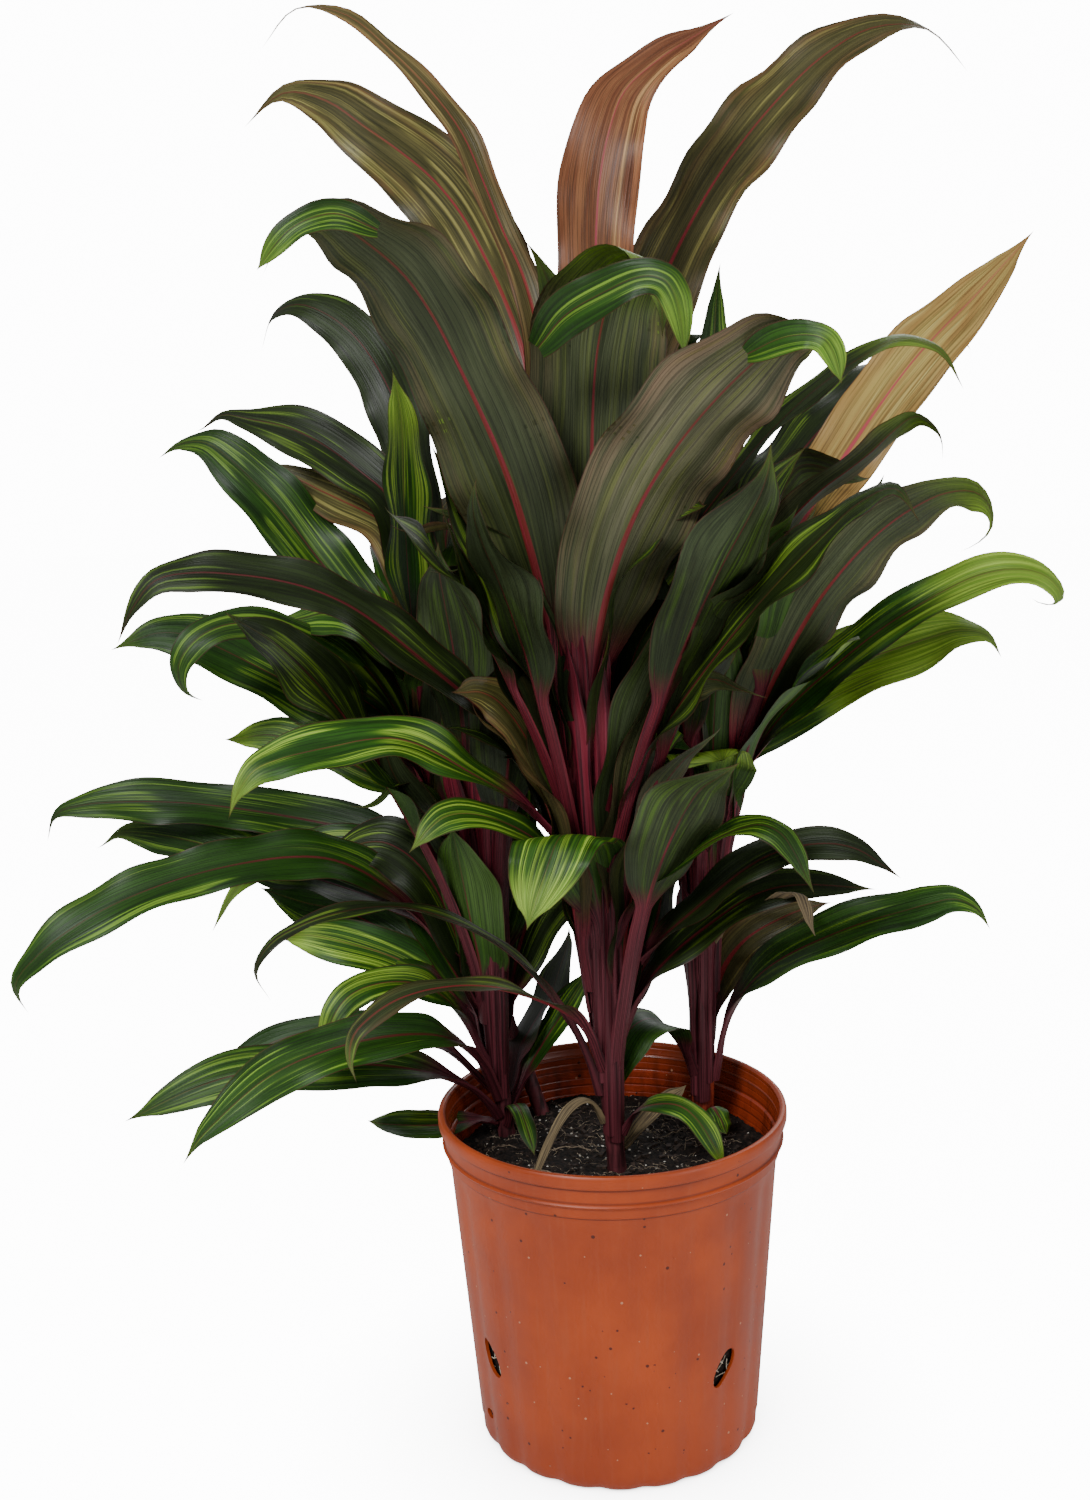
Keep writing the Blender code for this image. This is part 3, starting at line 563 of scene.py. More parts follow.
def grow_cane(node, material):
    """One cane: a grid rolled into a tube along the CAD cane, lumpy and ringed with scars."""
    centres, radius = cane_rings(node)
    axis = curve_through(centres, CANE_STEPS)
    cane = fresh("grid", x_subdivisions=CANE_SIDES, y_subdivisions=CANE_STEPS - 1, size=1)
    tangents = np.gradient(axis, axis=0)
    for v in cane.data.vertices:
        row = round((v.co.y + 0.5) * (CANE_STEPS - 1))
        around = 2 * math.pi * (v.co.x + 0.5)
        tangent = Vector(tangents[row]).normalized()
        across = tangent.cross(Vector((0, 1, 0))).normalized()
        deep = tangent.cross(across)
        z = axis[row][2]
        scar = 0.05 * max(0.0, 1 - abs(z % SCAR_STEP - SCAR_STEP / 2) / (1.4 * MM))
        lump = 0.05 * noise.noise(Vector((math.cos(around), math.sin(around), z * 60)))
        close = min(1.0, (CANE_STEPS - 1 - row) / 6) ** 0.5
        r = radius * (0.97 + scar + lump) * close
        v.co = Vector(axis[row]) + (across * math.cos(around) + deep * math.sin(around)) * r
    edit(cane)
    bpy.ops.mesh.select_all(action="SELECT")
    bpy.ops.mesh.remove_doubles(threshold=1e-5)
    bpy.ops.mesh.fill_holes(sides=0)
    face_outwards()
    settle(cane, node.replace("cane", "stem"), material, 60)
    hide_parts(node)


bark_material = bark()
for cane_node in sorted(n for n in frame["nodes"] if n.startswith("cane_")):
    grow_cane(cane_node, bark_material)

# ======================================================================================
# Leaves: a channelled stalk that clasps the cane and a lance-shaped blade with a keeled
# midrib. The blade waves at its margins, and its parallel veins carry stripes of colour.
# ======================================================================================
ACROSS = np.array([-1, -0.93, -0.8, -0.64, -0.48, -0.33, -0.2, -0.1, 0,
                   0.1, 0.2, 0.33, 0.48, 0.64, 0.8, 0.93, 1])
LEAF_STEPS = 64
HOOK_FROM = 0.84                    # share of the length past which a tip hooks over
STALK_TO, BLADE_FROM = 0.15, 0.35   # shares of the length where the stalk goes over into the blade
FULL_FROM, FULL_FADE = 0.55, 0.35   # shares of the length where the outer blade grows fuller
FULLER = 0.75                       # and by how much
TIP_SHARE = 0.08                    # the last part, which tapers to the point
FOLD_RADIUS = 32 * MM               # a leaf bent more sharply than this flattens


def leaf_sections(node):
    """A CAD leaf's cross-sections, foot first: left edge, channel, right edge and keel."""
    mesh = frame["nodes"][node].data
    raw = np.round([v.co for v in mesh.vertices], 6)
    points, where = np.unique(raw, axis=0, return_inverse=True)
    where = where.ravel()
    near = {k: set() for k in range(len(points))}
    for polygon in mesh.polygons:
        corners = [int(where[k]) for k in polygon.vertices]
        for a in corners:
            near[a].update(b for b in corners if b != a)
    gaps = np.linalg.norm(points[:, None] - points[None], axis=2)
    tip = int(np.argmin(np.sort(gaps, axis=1)[:, 1:4].sum(axis=1)))
    level = set(int(k) for k in np.argsort(gaps[tip])[:4])
    seen, levels = set(level), [level]
    while True:
        level = {b for a in level for b in near[a]} - seen
        if not level:
            break
        seen |= level
        levels.append(level)
    sections = []
    for level in reversed(levels):
        ring = points[sorted(level)]
        spread = np.linalg.norm(ring[:, None] - ring[None], axis=2)
        a, b = np.unravel_index(np.argmax(spread), spread.shape)
        rest = [k for k in range(len(ring)) if k not in (a, b)]
        middle = (ring[a] + ring[b]) / 2
        rest.sort(key=lambda k: np.linalg.norm(ring[k] - middle))
        sections.append([ring[a], ring[rest[0]], ring[b], ring[rest[1]]])
    sections = np.array(sections)
    for k in range(len(sections)):
        left, channel, right, keel = sections[k]
        if k and (left - right) @ (sections[k - 1][0] - sections[k - 1][2]) < 0:
            sections[k, 0], sections[k, 2] = right.copy(), left.copy()
    along = sections[2, 1] - sections[0, 1]
    upward = np.cross(sections[1, 0] - sections[1, 2], along)
    if upward @ (sections[1, 1] - sections[1, 3]) < 0:
        sections[:, [0, 2]] = sections[:, [2, 0]]
    return sections


def curl_tip(smooth, curl):
    """Bends the end of a leaf towards its underside."""
    first = int(HOOK_FROM * (len(smooth) - 1))
    bent = smooth.copy()
    for k in range(first + 1, len(smooth)):
        along = smooth[k, 1] - smooth[k - 1, 1]
        share = (k - first) / (len(smooth) - 1 - first)
        axis = smooth[k, 0] - smooth[k, 2]
        turn = np.array(Matrix.Rotation(-curl * share ** 1.4, 3, Vector(axis)))
        bent[k] = bent[k - 1, 1] + turn @ along + (smooth[k] - smooth[k, 1]) @ turn.T
    return bent


def leaf_surface(sections, draw, curl, start):
    """Points of a closed leaf on a grid, with its local half widths and its length."""
    smooth = curve_through(sections.reshape(len(sections), 12), LEAF_STEPS + 1).reshape(-1, 4, 3)
    smooth = curl_tip(smooth, curl)
    channel, keel = smooth[:, 1], smooth[:, 3]
    arm = (smooth[:, 0] - smooth[:, 2]) / 2
    middle = (smooth[:, 0] + smooth[:, 2]) / 2
    up = channel - keel
    up /= np.linalg.norm(up, axis=1)[:, None]
    run = np.concatenate([[0], np.cumsum(np.linalg.norm(np.diff(channel, axis=0), axis=1))])
    length = run[-1]
    share = run / length
    half = np.linalg.norm(arm, axis=1)
    widest = half.max()
    arm_way = arm / np.maximum(half, 1e-6)[:, None]
    # the stalk is narrow and deep, the blade wavers, is fuller towards its end, and then tapers
    stalk = np.clip(1 - (start + (1 - start) * share - STALK_TO) / (BLADE_FROM - STALK_TO), 0, 1)
    stalk = stalk * stalk * (3 - 2 * stalk)
    stalk_half = min(8.0 * MM, max(2.2 * MM, 0.20 * widest + 1.4 * MM))
    half = np.maximum(half, stalk * stalk_half + (1 - stalk) * half)
    half *= 1 + 0.05 * np.sin(run / (31 * MM) + draw.uniform(0, 6)) * (1 - stalk)
    full = np.clip((share - FULL_FROM) / FULL_FADE, 0, 1)
    half *= 1 + FULLER * full * full * (3 - 2 * full)
    tip = np.clip((1 - share) / TIP_SHARE, 0, 1) ** 0.72
    half = np.maximum(half * tip, 0.02 * MM)
    # it flattens and arches where it folds sharply
    sink = np.sum((middle - channel) * up, axis=1) * (1 + 0.25 * stalk)
    way = np.gradient(channel, axis=0)
    way /= np.linalg.norm(way, axis=1)[:, None]
    bend = np.linalg.norm(np.gradient(way, axis=0), axis=1) / np.gradient(run)
    bend = np.convolve(np.pad(bend, 3, mode="edge"), np.ones(7) / 7, mode="valid")
    folded = 1 - 1 / (1 + (bend * FOLD_RADIUS) ** 2)
    sink = sink * (1 - folded)
    thick = np.linalg.norm(channel - keel, axis=1) * (0.85 - 0.25 * stalk)
    edge = (0.30 + 1.0 * stalk) * MM
    phases = [draw.uniform(0, 6.28) for _ in range(6)]      # the waves take the first three
    waves = [draw.uniform(0.055, 0.080), draw.uniform(0.055, 0.080), draw.uniform(0.10, 0.16)]
    height = np.clip(half / (30 * MM), 0, 1.2) * 4.2 * MM * (1 - stalk)
    r = np.abs(ACROSS)
    rows = []
    for k in range(LEAF_STEPS + 1):
        left, right, both = (2 * math.pi * run[k] / wave + phase for wave, phase in zip(waves, phases))
        ripple = np.where(ACROSS < 0, np.sin(left), np.sin(right)) + 0.6 * np.sin(both + 1.3 * ACROSS)
        vee = (np.sqrt(r * r + 0.01) - 0.1) / (math.sqrt(1.01) - 0.1)
        vee = vee * (1 - stalk[k]) * (1.35 - 0.35 * r * r) + r ** 1.7 * stalk[k]
        rise = sink[k] * vee + height[k] * ripple * r ** 1.8 - 0.34 * folded[k] * half[k] * r * r
        top = channel[k] + np.outer(ACROSS * half[k], arm_way[k]) + np.outer(rise, up[k])
        rib = 1.9 * MM + 2.6 * MM * stalk[k]
        wall = (edge[k] + thick[k] * np.exp(-(ACROSS * half[k] / rib) ** 2)) * tip[k]
        under = top - np.outer(wall * (r < 1), up[k])
        rows.append(np.concatenate([top, under[::-1][1:]]))
    return np.array(rows), half, widest, length


def grow_leaf(name, sections, material, seed, traits, curl=None, start=0.0):
    """One leaf, wrapped from a grid whose two side edges meet at the left margin. Its traits
    are how striped it is, where its tip starts to yellow, and how bold its midrib is. Its
    length is counted from start at the foot to 1 at the tip, so a long stalk starts below 0."""
    draw = random.Random(seed)
    if curl is None:
        curl = draw.uniform(0.2, 1.3)
    rows, half, widest, length = leaf_surface(sections, draw, curl, start)
    columns = rows.shape[1] - 1
    leaf = fresh("grid", x_subdivisions=columns, y_subdivisions=LEAF_STEPS, size=1)
    mesh = leaf.data
    place = np.array([v.co for v in mesh.vertices]) + 0.5
    column = np.round(place[:, 0] * columns).astype(int)
    row = np.round(place[:, 1] * LEAF_STEPS).astype(int)
    mesh.vertices.foreach_set("co", rows[row, column].ravel())
    corner = np.empty(len(mesh.loops), int)
    mesh.loops.foreach_get("vertex_index", corner)
    around = np.concatenate([(ACROSS + 1) / 2, 1 + (ACROSS[1:] + 1) / 2])
    along = start + (1 - start) * row / LEAF_STEPS
    layer = mesh.uv_layers.active
    layer.name = "leaf_uv"
    layer.data.foreach_set("uv", np.stack([around[column][corner], along[corner]], axis=1).ravel())
    values = {"half_mm": half[row] / MM, "widest_mm": widest / MM, "length_mm": length / MM,
              "tone": draw.random()}
    for key, trait in zip(("striped", "tip_at", "rib_bold"), traits):
        values[key] = trait + draw.uniform(-0.06, 0.06)
    for key, value in values.items():
        layer = mesh.attributes.new(key, "FLOAT", "POINT")
        layer.data.foreach_set("value", np.zeros(len(row)) + value)
    edit(leaf)
    bpy.ops.mesh.select_all(action="SELECT")
    bpy.ops.mesh.remove_doubles(threshold=2e-5)
    bpy.ops.mesh.fill_holes(sides=0)
    face_outwards()
    return settle(leaf, name, material, 75)


def leaf_material(name, dark, light, stripe, glow, under, under_light, rib, stalk, blush=0.0,
                  uneven=0.0, all_stalk=False):
    """Living leaf: a thin waxy skin. Bands of stripe colour follow the veins of the upper
    side, the underside is greyer, the midrib and stalk are crimson, the margin maroon."""
    made, tree, shader = new_material(name)
    uv = add(tree, "UVMap", uv_map="leaf_uv")
    u, v, _ = add(tree, "SeparateXYZ", (uv,), None)
    half, widest, length, tone, striped, tip_at, rib_bold = (
        add(tree, "Attribute", out="Fac", attribute_name=key)
        for key in ("half_mm", "widest_mm", "length_mm", "tone", "striped", "tip_at", "rib_bold"))
    below = add(tree, "Math", (u, 1.0), operation="GREATER_THAN")
    folded = add(tree, "Math", (u, 1.0), operation="PINGPONG")
    side = add(tree, "MapRange", (folded, 0.0, 1.0, -1.0, 1.0))
    out = add(tree, "Math", (side,), operation="ABSOLUTE")
    from_rib = add(tree, "Math", (out, half), operation="MULTIPLY")
    # the veins leave the midrib at a slant and run on towards the tip
    sign = add(tree, "Math", (side,), operation="SIGN")
    slant = add(tree, "Math", (v, -0.35), operation="MULTIPLY")
    vein = add(tree, "Math", (sign, slant, side), operation="MULTIPLY_ADD")
    vein = add(tree, "Math", (vein, widest), operation="MULTIPLY")
    run = add(tree, "Math", (v, length), operation="MULTIPLY")
    seed = add(tree, "Math", (tone, 40.0), operation="MULTIPLY")

    def streaks(width_mm, run_mm, detail=2.0):
        """Noise drawn out along the veins: streaks of a given width and length."""
        across = add(tree, "Math", (vein, width_mm), operation="DIVIDE")
        along = add(tree, "Math", (run, run_mm), operation="DIVIDE")
        spot = add(tree, "CombineXYZ", (across, along, seed))
        return add(tree, "TexNoise", {"Vector": spot, "Scale": 1.0, "Detail": detail, "Roughness": 0.6})

    zone, band, thin, hair = streaks(13, 150, 1.0), streaks(3.2, 240), streaks(1.5, 180), streaks(0.8, 120)
    mottle = streaks(6, 80, 4.0)
    # upper side: stripes gather in zones, and stay off the midrib and the margin
    open_at = add(tree, "MapRange", (striped, 0.0, 1.0, 0.62, 0.36))
    opened = add(tree, "Math", (zone, open_at), operation="SUBTRACT")
    zone = add(tree, "MapRange", (opened, 0.0, 0.07), **SMOOTH)
    band = add(tree, "MapRange", (band, 0.45, 0.54, 0.10, 1.0), **SMOOTH)
    split = add(tree, "MapRange", (thin, 0.55, 0.50, 0.30, 1.0), **SMOOTH)
    inner = add(tree, "MapRange", (out, 1.0, 0.80), **SMOOTH)
    bright = add(tree, "Math", (zone, band), operation="MULTIPLY")
    bright = add(tree, "Math", (bright, split), operation="MULTIPLY")
    bright = add(tree, "Math", (bright, inner), operation="MULTIPLY")
    dull = add(tree, "MapRange", (mottle, 0.32, 0.68), **SMOOTH)
    upper = add(tree, "Mix", {0: dull, 6: srgb(dark), 7: srgb(light)}, 2, data_type="RGBA")
    upper = add(tree, "Mix", {0: bright, 6: upper, 7: srgb(stripe)}, 2, data_type="RGBA")
    hot = add(tree, "Math", (bright, 2.5), operation="POWER")
    hot = add(tree, "Math", (hot, striped), operation="MULTIPLY")
    upper = add(tree, "Mix", {0: hot, 6: upper, 7: srgb(glow)}, 2, data_type="RGBA")
    # underside: the same bands seen through a grey bloom
    lower = add(tree, "Mix", {0: dull, 6: srgb(under), 7: srgb(under_light)}, 2, data_type="RGBA")
    through = add(tree, "MapRange", (bright, 0.0, 1.0, 0.0, 0.6))
    lower = add(tree, "Mix", {0: through, 6: lower, 7: srgb(stripe)}, 2, data_type="RGBA")
    skin = add(tree, "Mix", {0: below, 6: upper, 7: lower}, 2, data_type="RGBA")
    # a rosy flush near the margins of the youngest leaves, one half often darker
    flushed = add(tree, "MapRange", (out, 0.35, 1.0, 0.0, blush), **SMOOTH)
    patch = add(tree, "MapRange", (mottle, 0.40, 0.60))
    flushed = add(tree, "Math", (flushed, patch), operation="MULTIPLY")
    skin = add(tree, "Mix", {0: flushed, 6: skin, 7: srgb("#94483a")}, 2, data_type="RGBA")
    darker = add(tree, "MapRange", (side, -0.1, 0.1, uneven, 0.0), **SMOOTH)
    skin = add(tree, "Mix", {0: darker, 6: skin, 7: srgb(dark)}, 2, data_type="RGBA")
    # and the blade deepens towards its foot
    deep = add(tree, "MapRange", (v, 0.66, 0.34, 0.0, 0.55), **SMOOTH)
    skin = add(tree, "Mix", {0: deep, 6: skin, 7: srgb(dark)}, 2, data_type="RGBA")
    # the end of the leaf yellows between the veins
    tipward = add(tree, "Math", (thin, 0.16, v), operation="MULTIPLY_ADD")
    tipward = add(tree, "Math", (tipward, tip_at), operation="SUBTRACT")
    tip = add(tree, "MapRange", (tipward, 0.04, 0.16, 0.0, 0.9), **SMOOTH)
    tip_colour = add(tree, "Mix", {0: split, 6: srgb(stripe), 7: srgb(glow)}, 2, data_type="RGBA")
    skin = add(tree, "Mix", {0: tip, 6: skin, 7: tip_colour}, 2, data_type="RGBA")
    lines = add(tree, "MapRange", (hair, 0.49, 0.58, 0.0, 0.50), **SMOOTH)
    skin = add(tree, "Mix", {0: lines, 6: skin, 7: srgb("#0b0e07")}, 2, data_type="RGBA")
    # midrib: broad at the blade's foot, a thread further on, flanked by a dark hollow
    hollow = add(tree, "MapRange", (from_rib, 6.0, 1.5, 0.0, 0.40), **SMOOTH)
    skin = add(tree, "Mix", {0: hollow, 6: skin, 7: srgb(dark)}, 2, data_type="RGBA")
    rib_half = add(tree, "MapRange", (v, 0.24, 0.70, 4.2, 1.1), **SMOOTH)
    rib_half = add(tree, "Math", (rib_half, rib_bold), operation="MULTIPLY")
    rib_most = add(tree, "Math", (half, 0.22), operation="MULTIPLY")
    rib_half = add(tree, "Math", (rib_half, rib_most), operation="MINIMUM")
    past = add(tree, "Math", (from_rib, rib_half), operation="SUBTRACT")
    on_rib = add(tree, "MapRange", (past, 0.5, -0.4, 0.0, 0.92), **SMOOTH)
    rib_fade = add(tree, "MapRange", (v, 0.98, 0.62, 0.25, 1.0))
    rib_fade = add(tree, "Math", (rib_fade, on_rib), operation="MULTIPLY")
    rib_tone = add(tree, "MapRange", (thin, 0.35, 0.65))
    rib_colour = add(tree, "Mix", {0: rib_tone, 6: srgb(rib), 7: srgb(stalk)}, 2, data_type="RGBA")
    skin = add(tree, "Mix", {0: rib_fade, 6: skin, 7: rib_colour}, 2, data_type="RGBA")
    inset = add(tree, "Math", (half, from_rib), operation="SUBTRACT")
    margin = add(tree, "MapRange", (inset, 0.9, 0.2, 0.0, 0.6), **SMOOTH)
    skin = add(tree, "Mix", {0: margin, 6: skin, 7: srgb("#4a1f1c")}, 2, data_type="RGBA")
    # stalk: crimson, streaked, duller where it clasps the cane
    streaky = add(tree, "MapRange", (thin, 0.36, 0.62), **SMOOTH)
    red = add(tree, "Mix", {0: streaky, 6: srgb("#3a0d18"), 7: srgb(stalk)}, 2, data_type="RGBA")
    pale = add(tree, "MapRange", (hair, 0.54, 0.70, 0.0, 0.32))
    red = add(tree, "Mix", {0: pale, 6: red, 7: srgb("#b04c62")}, 2, data_type="RGBA")
    height = add(tree, "SeparateXYZ", (add(tree, "TexCoord", out="Object"),), 2)
    aged = add(tree, "MapRange", (height, 0.50, 0.34, 0.0, 0.75), **SMOOTH)
    brown = add(tree, "Mix", {0: streaky, 6: srgb("#2a0f13"), 7: srgb("#5c2e34")}, 2, data_type="RGBA")
    red = add(tree, "Mix", {0: aged, 6: red, 7: brown}, 2, data_type="RGBA")
    footward = add(tree, "Math", (thin, 0.14, v), operation="MULTIPLY_ADD")
    on_stalk = add(tree, "MapRange", (footward, 0.38, 0.27), **SMOOTH)
    if all_stalk:
        on_stalk.node.inputs[3].default_value = 1.0
    skin = add(tree, "Mix", {0: on_stalk, 6: skin, 7: red}, 2, data_type="RGBA")
    shade = add(tree, "MapRange", (tone, 0.0, 1.0, 0.80, 1.22))
    skin = add(tree, "VectorMath", {0: skin, "Scale": shade}, operation="SCALE")
    tree.links.new(skin, shader.inputs["Base Color"])
    rough = add(tree, "MapRange", (mottle, 0.3, 0.7, 0.36, 0.50))
    rough = add(tree, "Math", (below, 0.08, rough), operation="MULTIPLY_ADD")
    tree.links.new(rough, shader.inputs["Roughness"])
    shader.inputs["IOR"].default_value = 1.42
    shader.inputs["Specular IOR Level"].default_value = 0.34
    relief = add(tree, "Math", (hair, 0.5, thin), operation="MULTIPLY_ADD")
    bump = add(tree, "Bump", {"Height": relief, "Distance": 0.7 * MM, "Strength": 0.55})
    tree.links.new(bump, shader.inputs["Normal"])
    return made


def withered_material():
    """A dead leaf: dry and papery, tan with grey-brown streaks."""
    made, tree, shader = new_material("withered_leaf")
    uv = add(tree, "UVMap", uv_map="leaf_uv")
    along = add(tree, "Mapping", {"Vector": uv, "Scale": (9, 3, 1)})
    streak = add(tree, "TexNoise", {"Vector": along, "Scale": 1.0, "Detail": 5.0})
    worn = add(tree, "MapRange", (streak, 0.32, 0.70), **SMOOTH)
    tree.links.new(add(tree, "Mix", {0: worn, 6: srgb("#3c3122"), 7: srgb("#867452")}, 2, data_type="RGBA"),
                   shader.inputs["Base Color"])
    shader.inputs["Roughness"].default_value = 0.8
    bump = add(tree, "Bump", {"Height": streak, "Distance": 0.8 * MM, "Strength": 0.7})
    tree.links.new(bump, shader.inputs["Normal"])
    return made


# look, material, and its colours: dark and light of the upper side, stripes and their glow, dark
# and light of the underside, midrib, stalk
LEAF_SKINS = {look: leaf_material(name, *colours.split(), **more) for look, name, colours, more in (
    ("dark", "dark_green_leaf", "#161f0a #263511 #4c6a1e #7c9a32 #2a311a #3e4a2d #3a1512 #6a1d28", {}),
    ("bronze", "olive_bronze_leaf", "#3c3a1d #55502b #706c38 #898248 #413c23 #5c5434 #7a2420 #8a2636",
     {"blush": 0.24}),
    ("green", "green_leaf", "#1a370b #2a5011 #4f7a20 #82a938 #38521f #4c6a30 #3f2014 #6a1d28", {}),
    ("lime", "lime_striped_leaf", "#1a390b #2d5a14 #6a9628 #9cbf44 #33501c #4c6e2e #4f3218 #742232", {}),
    ("grey", "grey_green_leaf", "#273018 #404a29 #646e36 #82a838 #3a4227 #535b3d #722420 #8a2838",
     {"blush": 0.16}),
    ("young", "rosy_brown_leaf", "#603723 #90623e #a67e50 #b58c5c #6a4028 #8c6040 #963848 #8a2838",
     {"blush": 0.24, "uneven": 0.35}),
    ("flushed", "flushed_grey_leaf", "#3a4325 #5f663b #7b8242 #8ca446 #54563b #7a775c #7a2822 #8a2838",
     {"blush": 0.30}),
    ("olive", "pale_olive_leaf", "#4a4426 #6e633e #877748 #978653 #584e2e #776942 #8a3430 #8a2636",
     {"blush": 0.40}),
    ("straw", "straw_olive_leaf", "#93723f #aa9653 #bdac66 #c6b56e #85733e #9c884c #a8444c #a03648",
     {"blush": 0.30}))}
LEAF_SKINS["dry"] = withered_material()

# how striped a leaf is, the share of its length where its tip starts to yellow, and how bold
# its midrib is: by skin, then leaf by leaf
LEAF_TRAITS = {"dark": (0.60, 0.97, 0.35), "bronze": (0.80, 1.20, 0.55), "green": (0.70, 0.95, 0.28),
               "lime": (1.00, 0.84, 0.20), "grey": (0.60, 0.95, 0.70), "young": (0.30, 1.30, 0.45),
               "straw": (0.30, 1.30, 0.45), "olive": (0.60, 1.20, 0.40),
               "flushed": (0.75, 0.86, 0.50), "dry": (0.0, 1.3, 0.3)}
OWN_TRAITS = {"centre_01": (0.95, 1.10, 0.60), "centre_02": (0.75, 0.84, 0.65),
              "centre_03": (0.65, 0.78, 0.45), "centre_04": (0.65, 0.84, 0.60),
              "centre_05": (0.55, 1.20, 0.60), "centre_07": (1.00, 1.20, 0.40),
              "centre_09": (0.60, 0.86, 0.35), "centre_14": (0.25, 1.20, 0.45),
              "right_02": (0.50, 0.80, 0.35), "right_03": (0.50, 0.84, 0.45),
              "right_04": (0.35, 0.80, 0.55), "right_05": (0.85, 0.66, 0.25),
              "right_06": (1.20, 0.50, 0.20), "right_10": (0.90, 0.86, 0.25),
              "back_03": (0.75, 0.70, 0.25), "back_04": (0.10, 1.20, 0.30)}
OWN_LOOK = {"centre_02": "grey", "centre_03": "grey", "centre_04": "flushed", "centre_07": "olive",
            "right_01": "straw", "right_05": "lime", "back_03": "green"}
# how far the tips hook over, in radians
COMMON_CURL = 0.15
OWN_CURL = {"right_01": 0.0, "right_02": 1.2, "right_03": 0.8, "right_04": 1.2, "right_05": 1.8,
            "left_02": 1.8, "left_03": 1.6, "left_04": 0.6, "back_05": 0.8}
# how much narrower than the CAD leaf some leaves are
SLIMMER = {"centre_24": 0.45, "back_04": 0.30, "centre_07": 0.20, "centre_14": 0.25}
LEANS_LEFT = "centre_17"            # by the first figure up to its fold, and by the second past it
LEAN = (24 * MM, 20 * MM)
CUT_SHORT = "right_07"              # its tip is lost behind the others
CUT_SECTIONS = 14
FIRST_SEED = 100
leaf_slots = {row["node"]: row["material_slot"] for row in frame["record"]["subparts"]
              if row["node"].startswith("leaf_")}
for number, (node, slot) in enumerate(sorted(leaf_slots.items())):
    own = node.removeprefix("leaf_")
    look = "green" if slot == "dark_leaf" and own.startswith("left") else slot.removesuffix("_leaf")
    look = OWN_LOOK.get(own, look)
    shape = leaf_sections(node)
    if own == CUT_SHORT:
        shape = shape[:CUT_SECTIONS]
    shape[:, [0, 2]] += (shape[:, 1:2] - shape[:, [0, 2]]) * SLIMMER.get(own, 0)
    if own == LEANS_LEFT:
        fold = int(np.argmax(shape[:, 1, 2]))
        step = np.arange(len(shape))
        past = np.clip(step - fold, 0, None) / (len(shape) - 1 - fold)
        shape[:, :, 0] -= (LEAN[0] * np.clip(step / fold, 0, 1) ** 2 + LEAN[1] * past)[:, None]
    blade = grow_leaf(f"blade_{own}", shape, LEAF_SKINS[look], FIRST_SEED + number,
                      OWN_TRAITS.get(own, LEAF_TRAITS[look]), OWN_CURL.get(own, COMMON_CURL))
    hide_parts(node)

# ======================================================================================
# Inner leaves: the thicket behind and between the leaves above. They grow from the same
# canes on long steep stalks, packed like the sheaths of a leek, and fill the crown.
# ======================================================================================
SECTIONS = 17
KEEL = (3.4 * MM, 1.9 * MM, 0.9 * MM)   # depth at the foot, lost by 0.4 of the length, lost past it


def leaf_along(knots, faces, width, stalk_share, stalk_half=3.6 * MM):
    """A leaf's cross-sections along a line of points, with the way its upper side faces."""
    fine = curve_through(np.hstack([knots, faces]), 160)
    run = np.concatenate([[0], np.cumsum(np.linalg.norm(np.diff(fine[:, :3], axis=0), axis=1))])
    even = np.linspace(0, run[-1], SECTIONS)
    line = np.stack([np.interp(even, run, fine[:, k]) for k in range(6)], axis=1)
    tangents = np.gradient(line[:, :3], axis=0)
    sections = []
    for k in range(SECTIONS):
        u = k / (SECTIONS - 1)
        tangent = tangents[k] / np.linalg.norm(tangents[k])
        normal = line[k, 3:] - (line[k, 3:] @ tangent) * tangent
        normal /= np.linalg.norm(normal)
        across = np.cross(normal, tangent)
        t = max(0.0, (u - stalk_share) / (1 - stalk_share))
        blade = math.sin(math.pi * t ** 0.72) ** 1.1 if t < 1 and stalk_share < 0.7 else 0.0
        stalk = min(stalk_half, 0.42 * width)
        half = max(stalk * (1 - t) ** 0.6 + 0.5 * (width - stalk) * blade, 0.6 * MM)
        sink = half * (0.42 - 0.20 * min(1.0, t / 0.24) - 0.10 * max(0.0, 2 * u - 1))
        keel = KEEL[0] - KEEL[1] * min(1.0, u / 0.4) - KEEL[2] * max(0.0, (u - 0.4) / 0.6)
        here = line[k, :3]
        sections.append([here + across * half + normal * sink, here,
                         here - across * half + normal * sink, here - normal * keel])
    return np.array(sections)


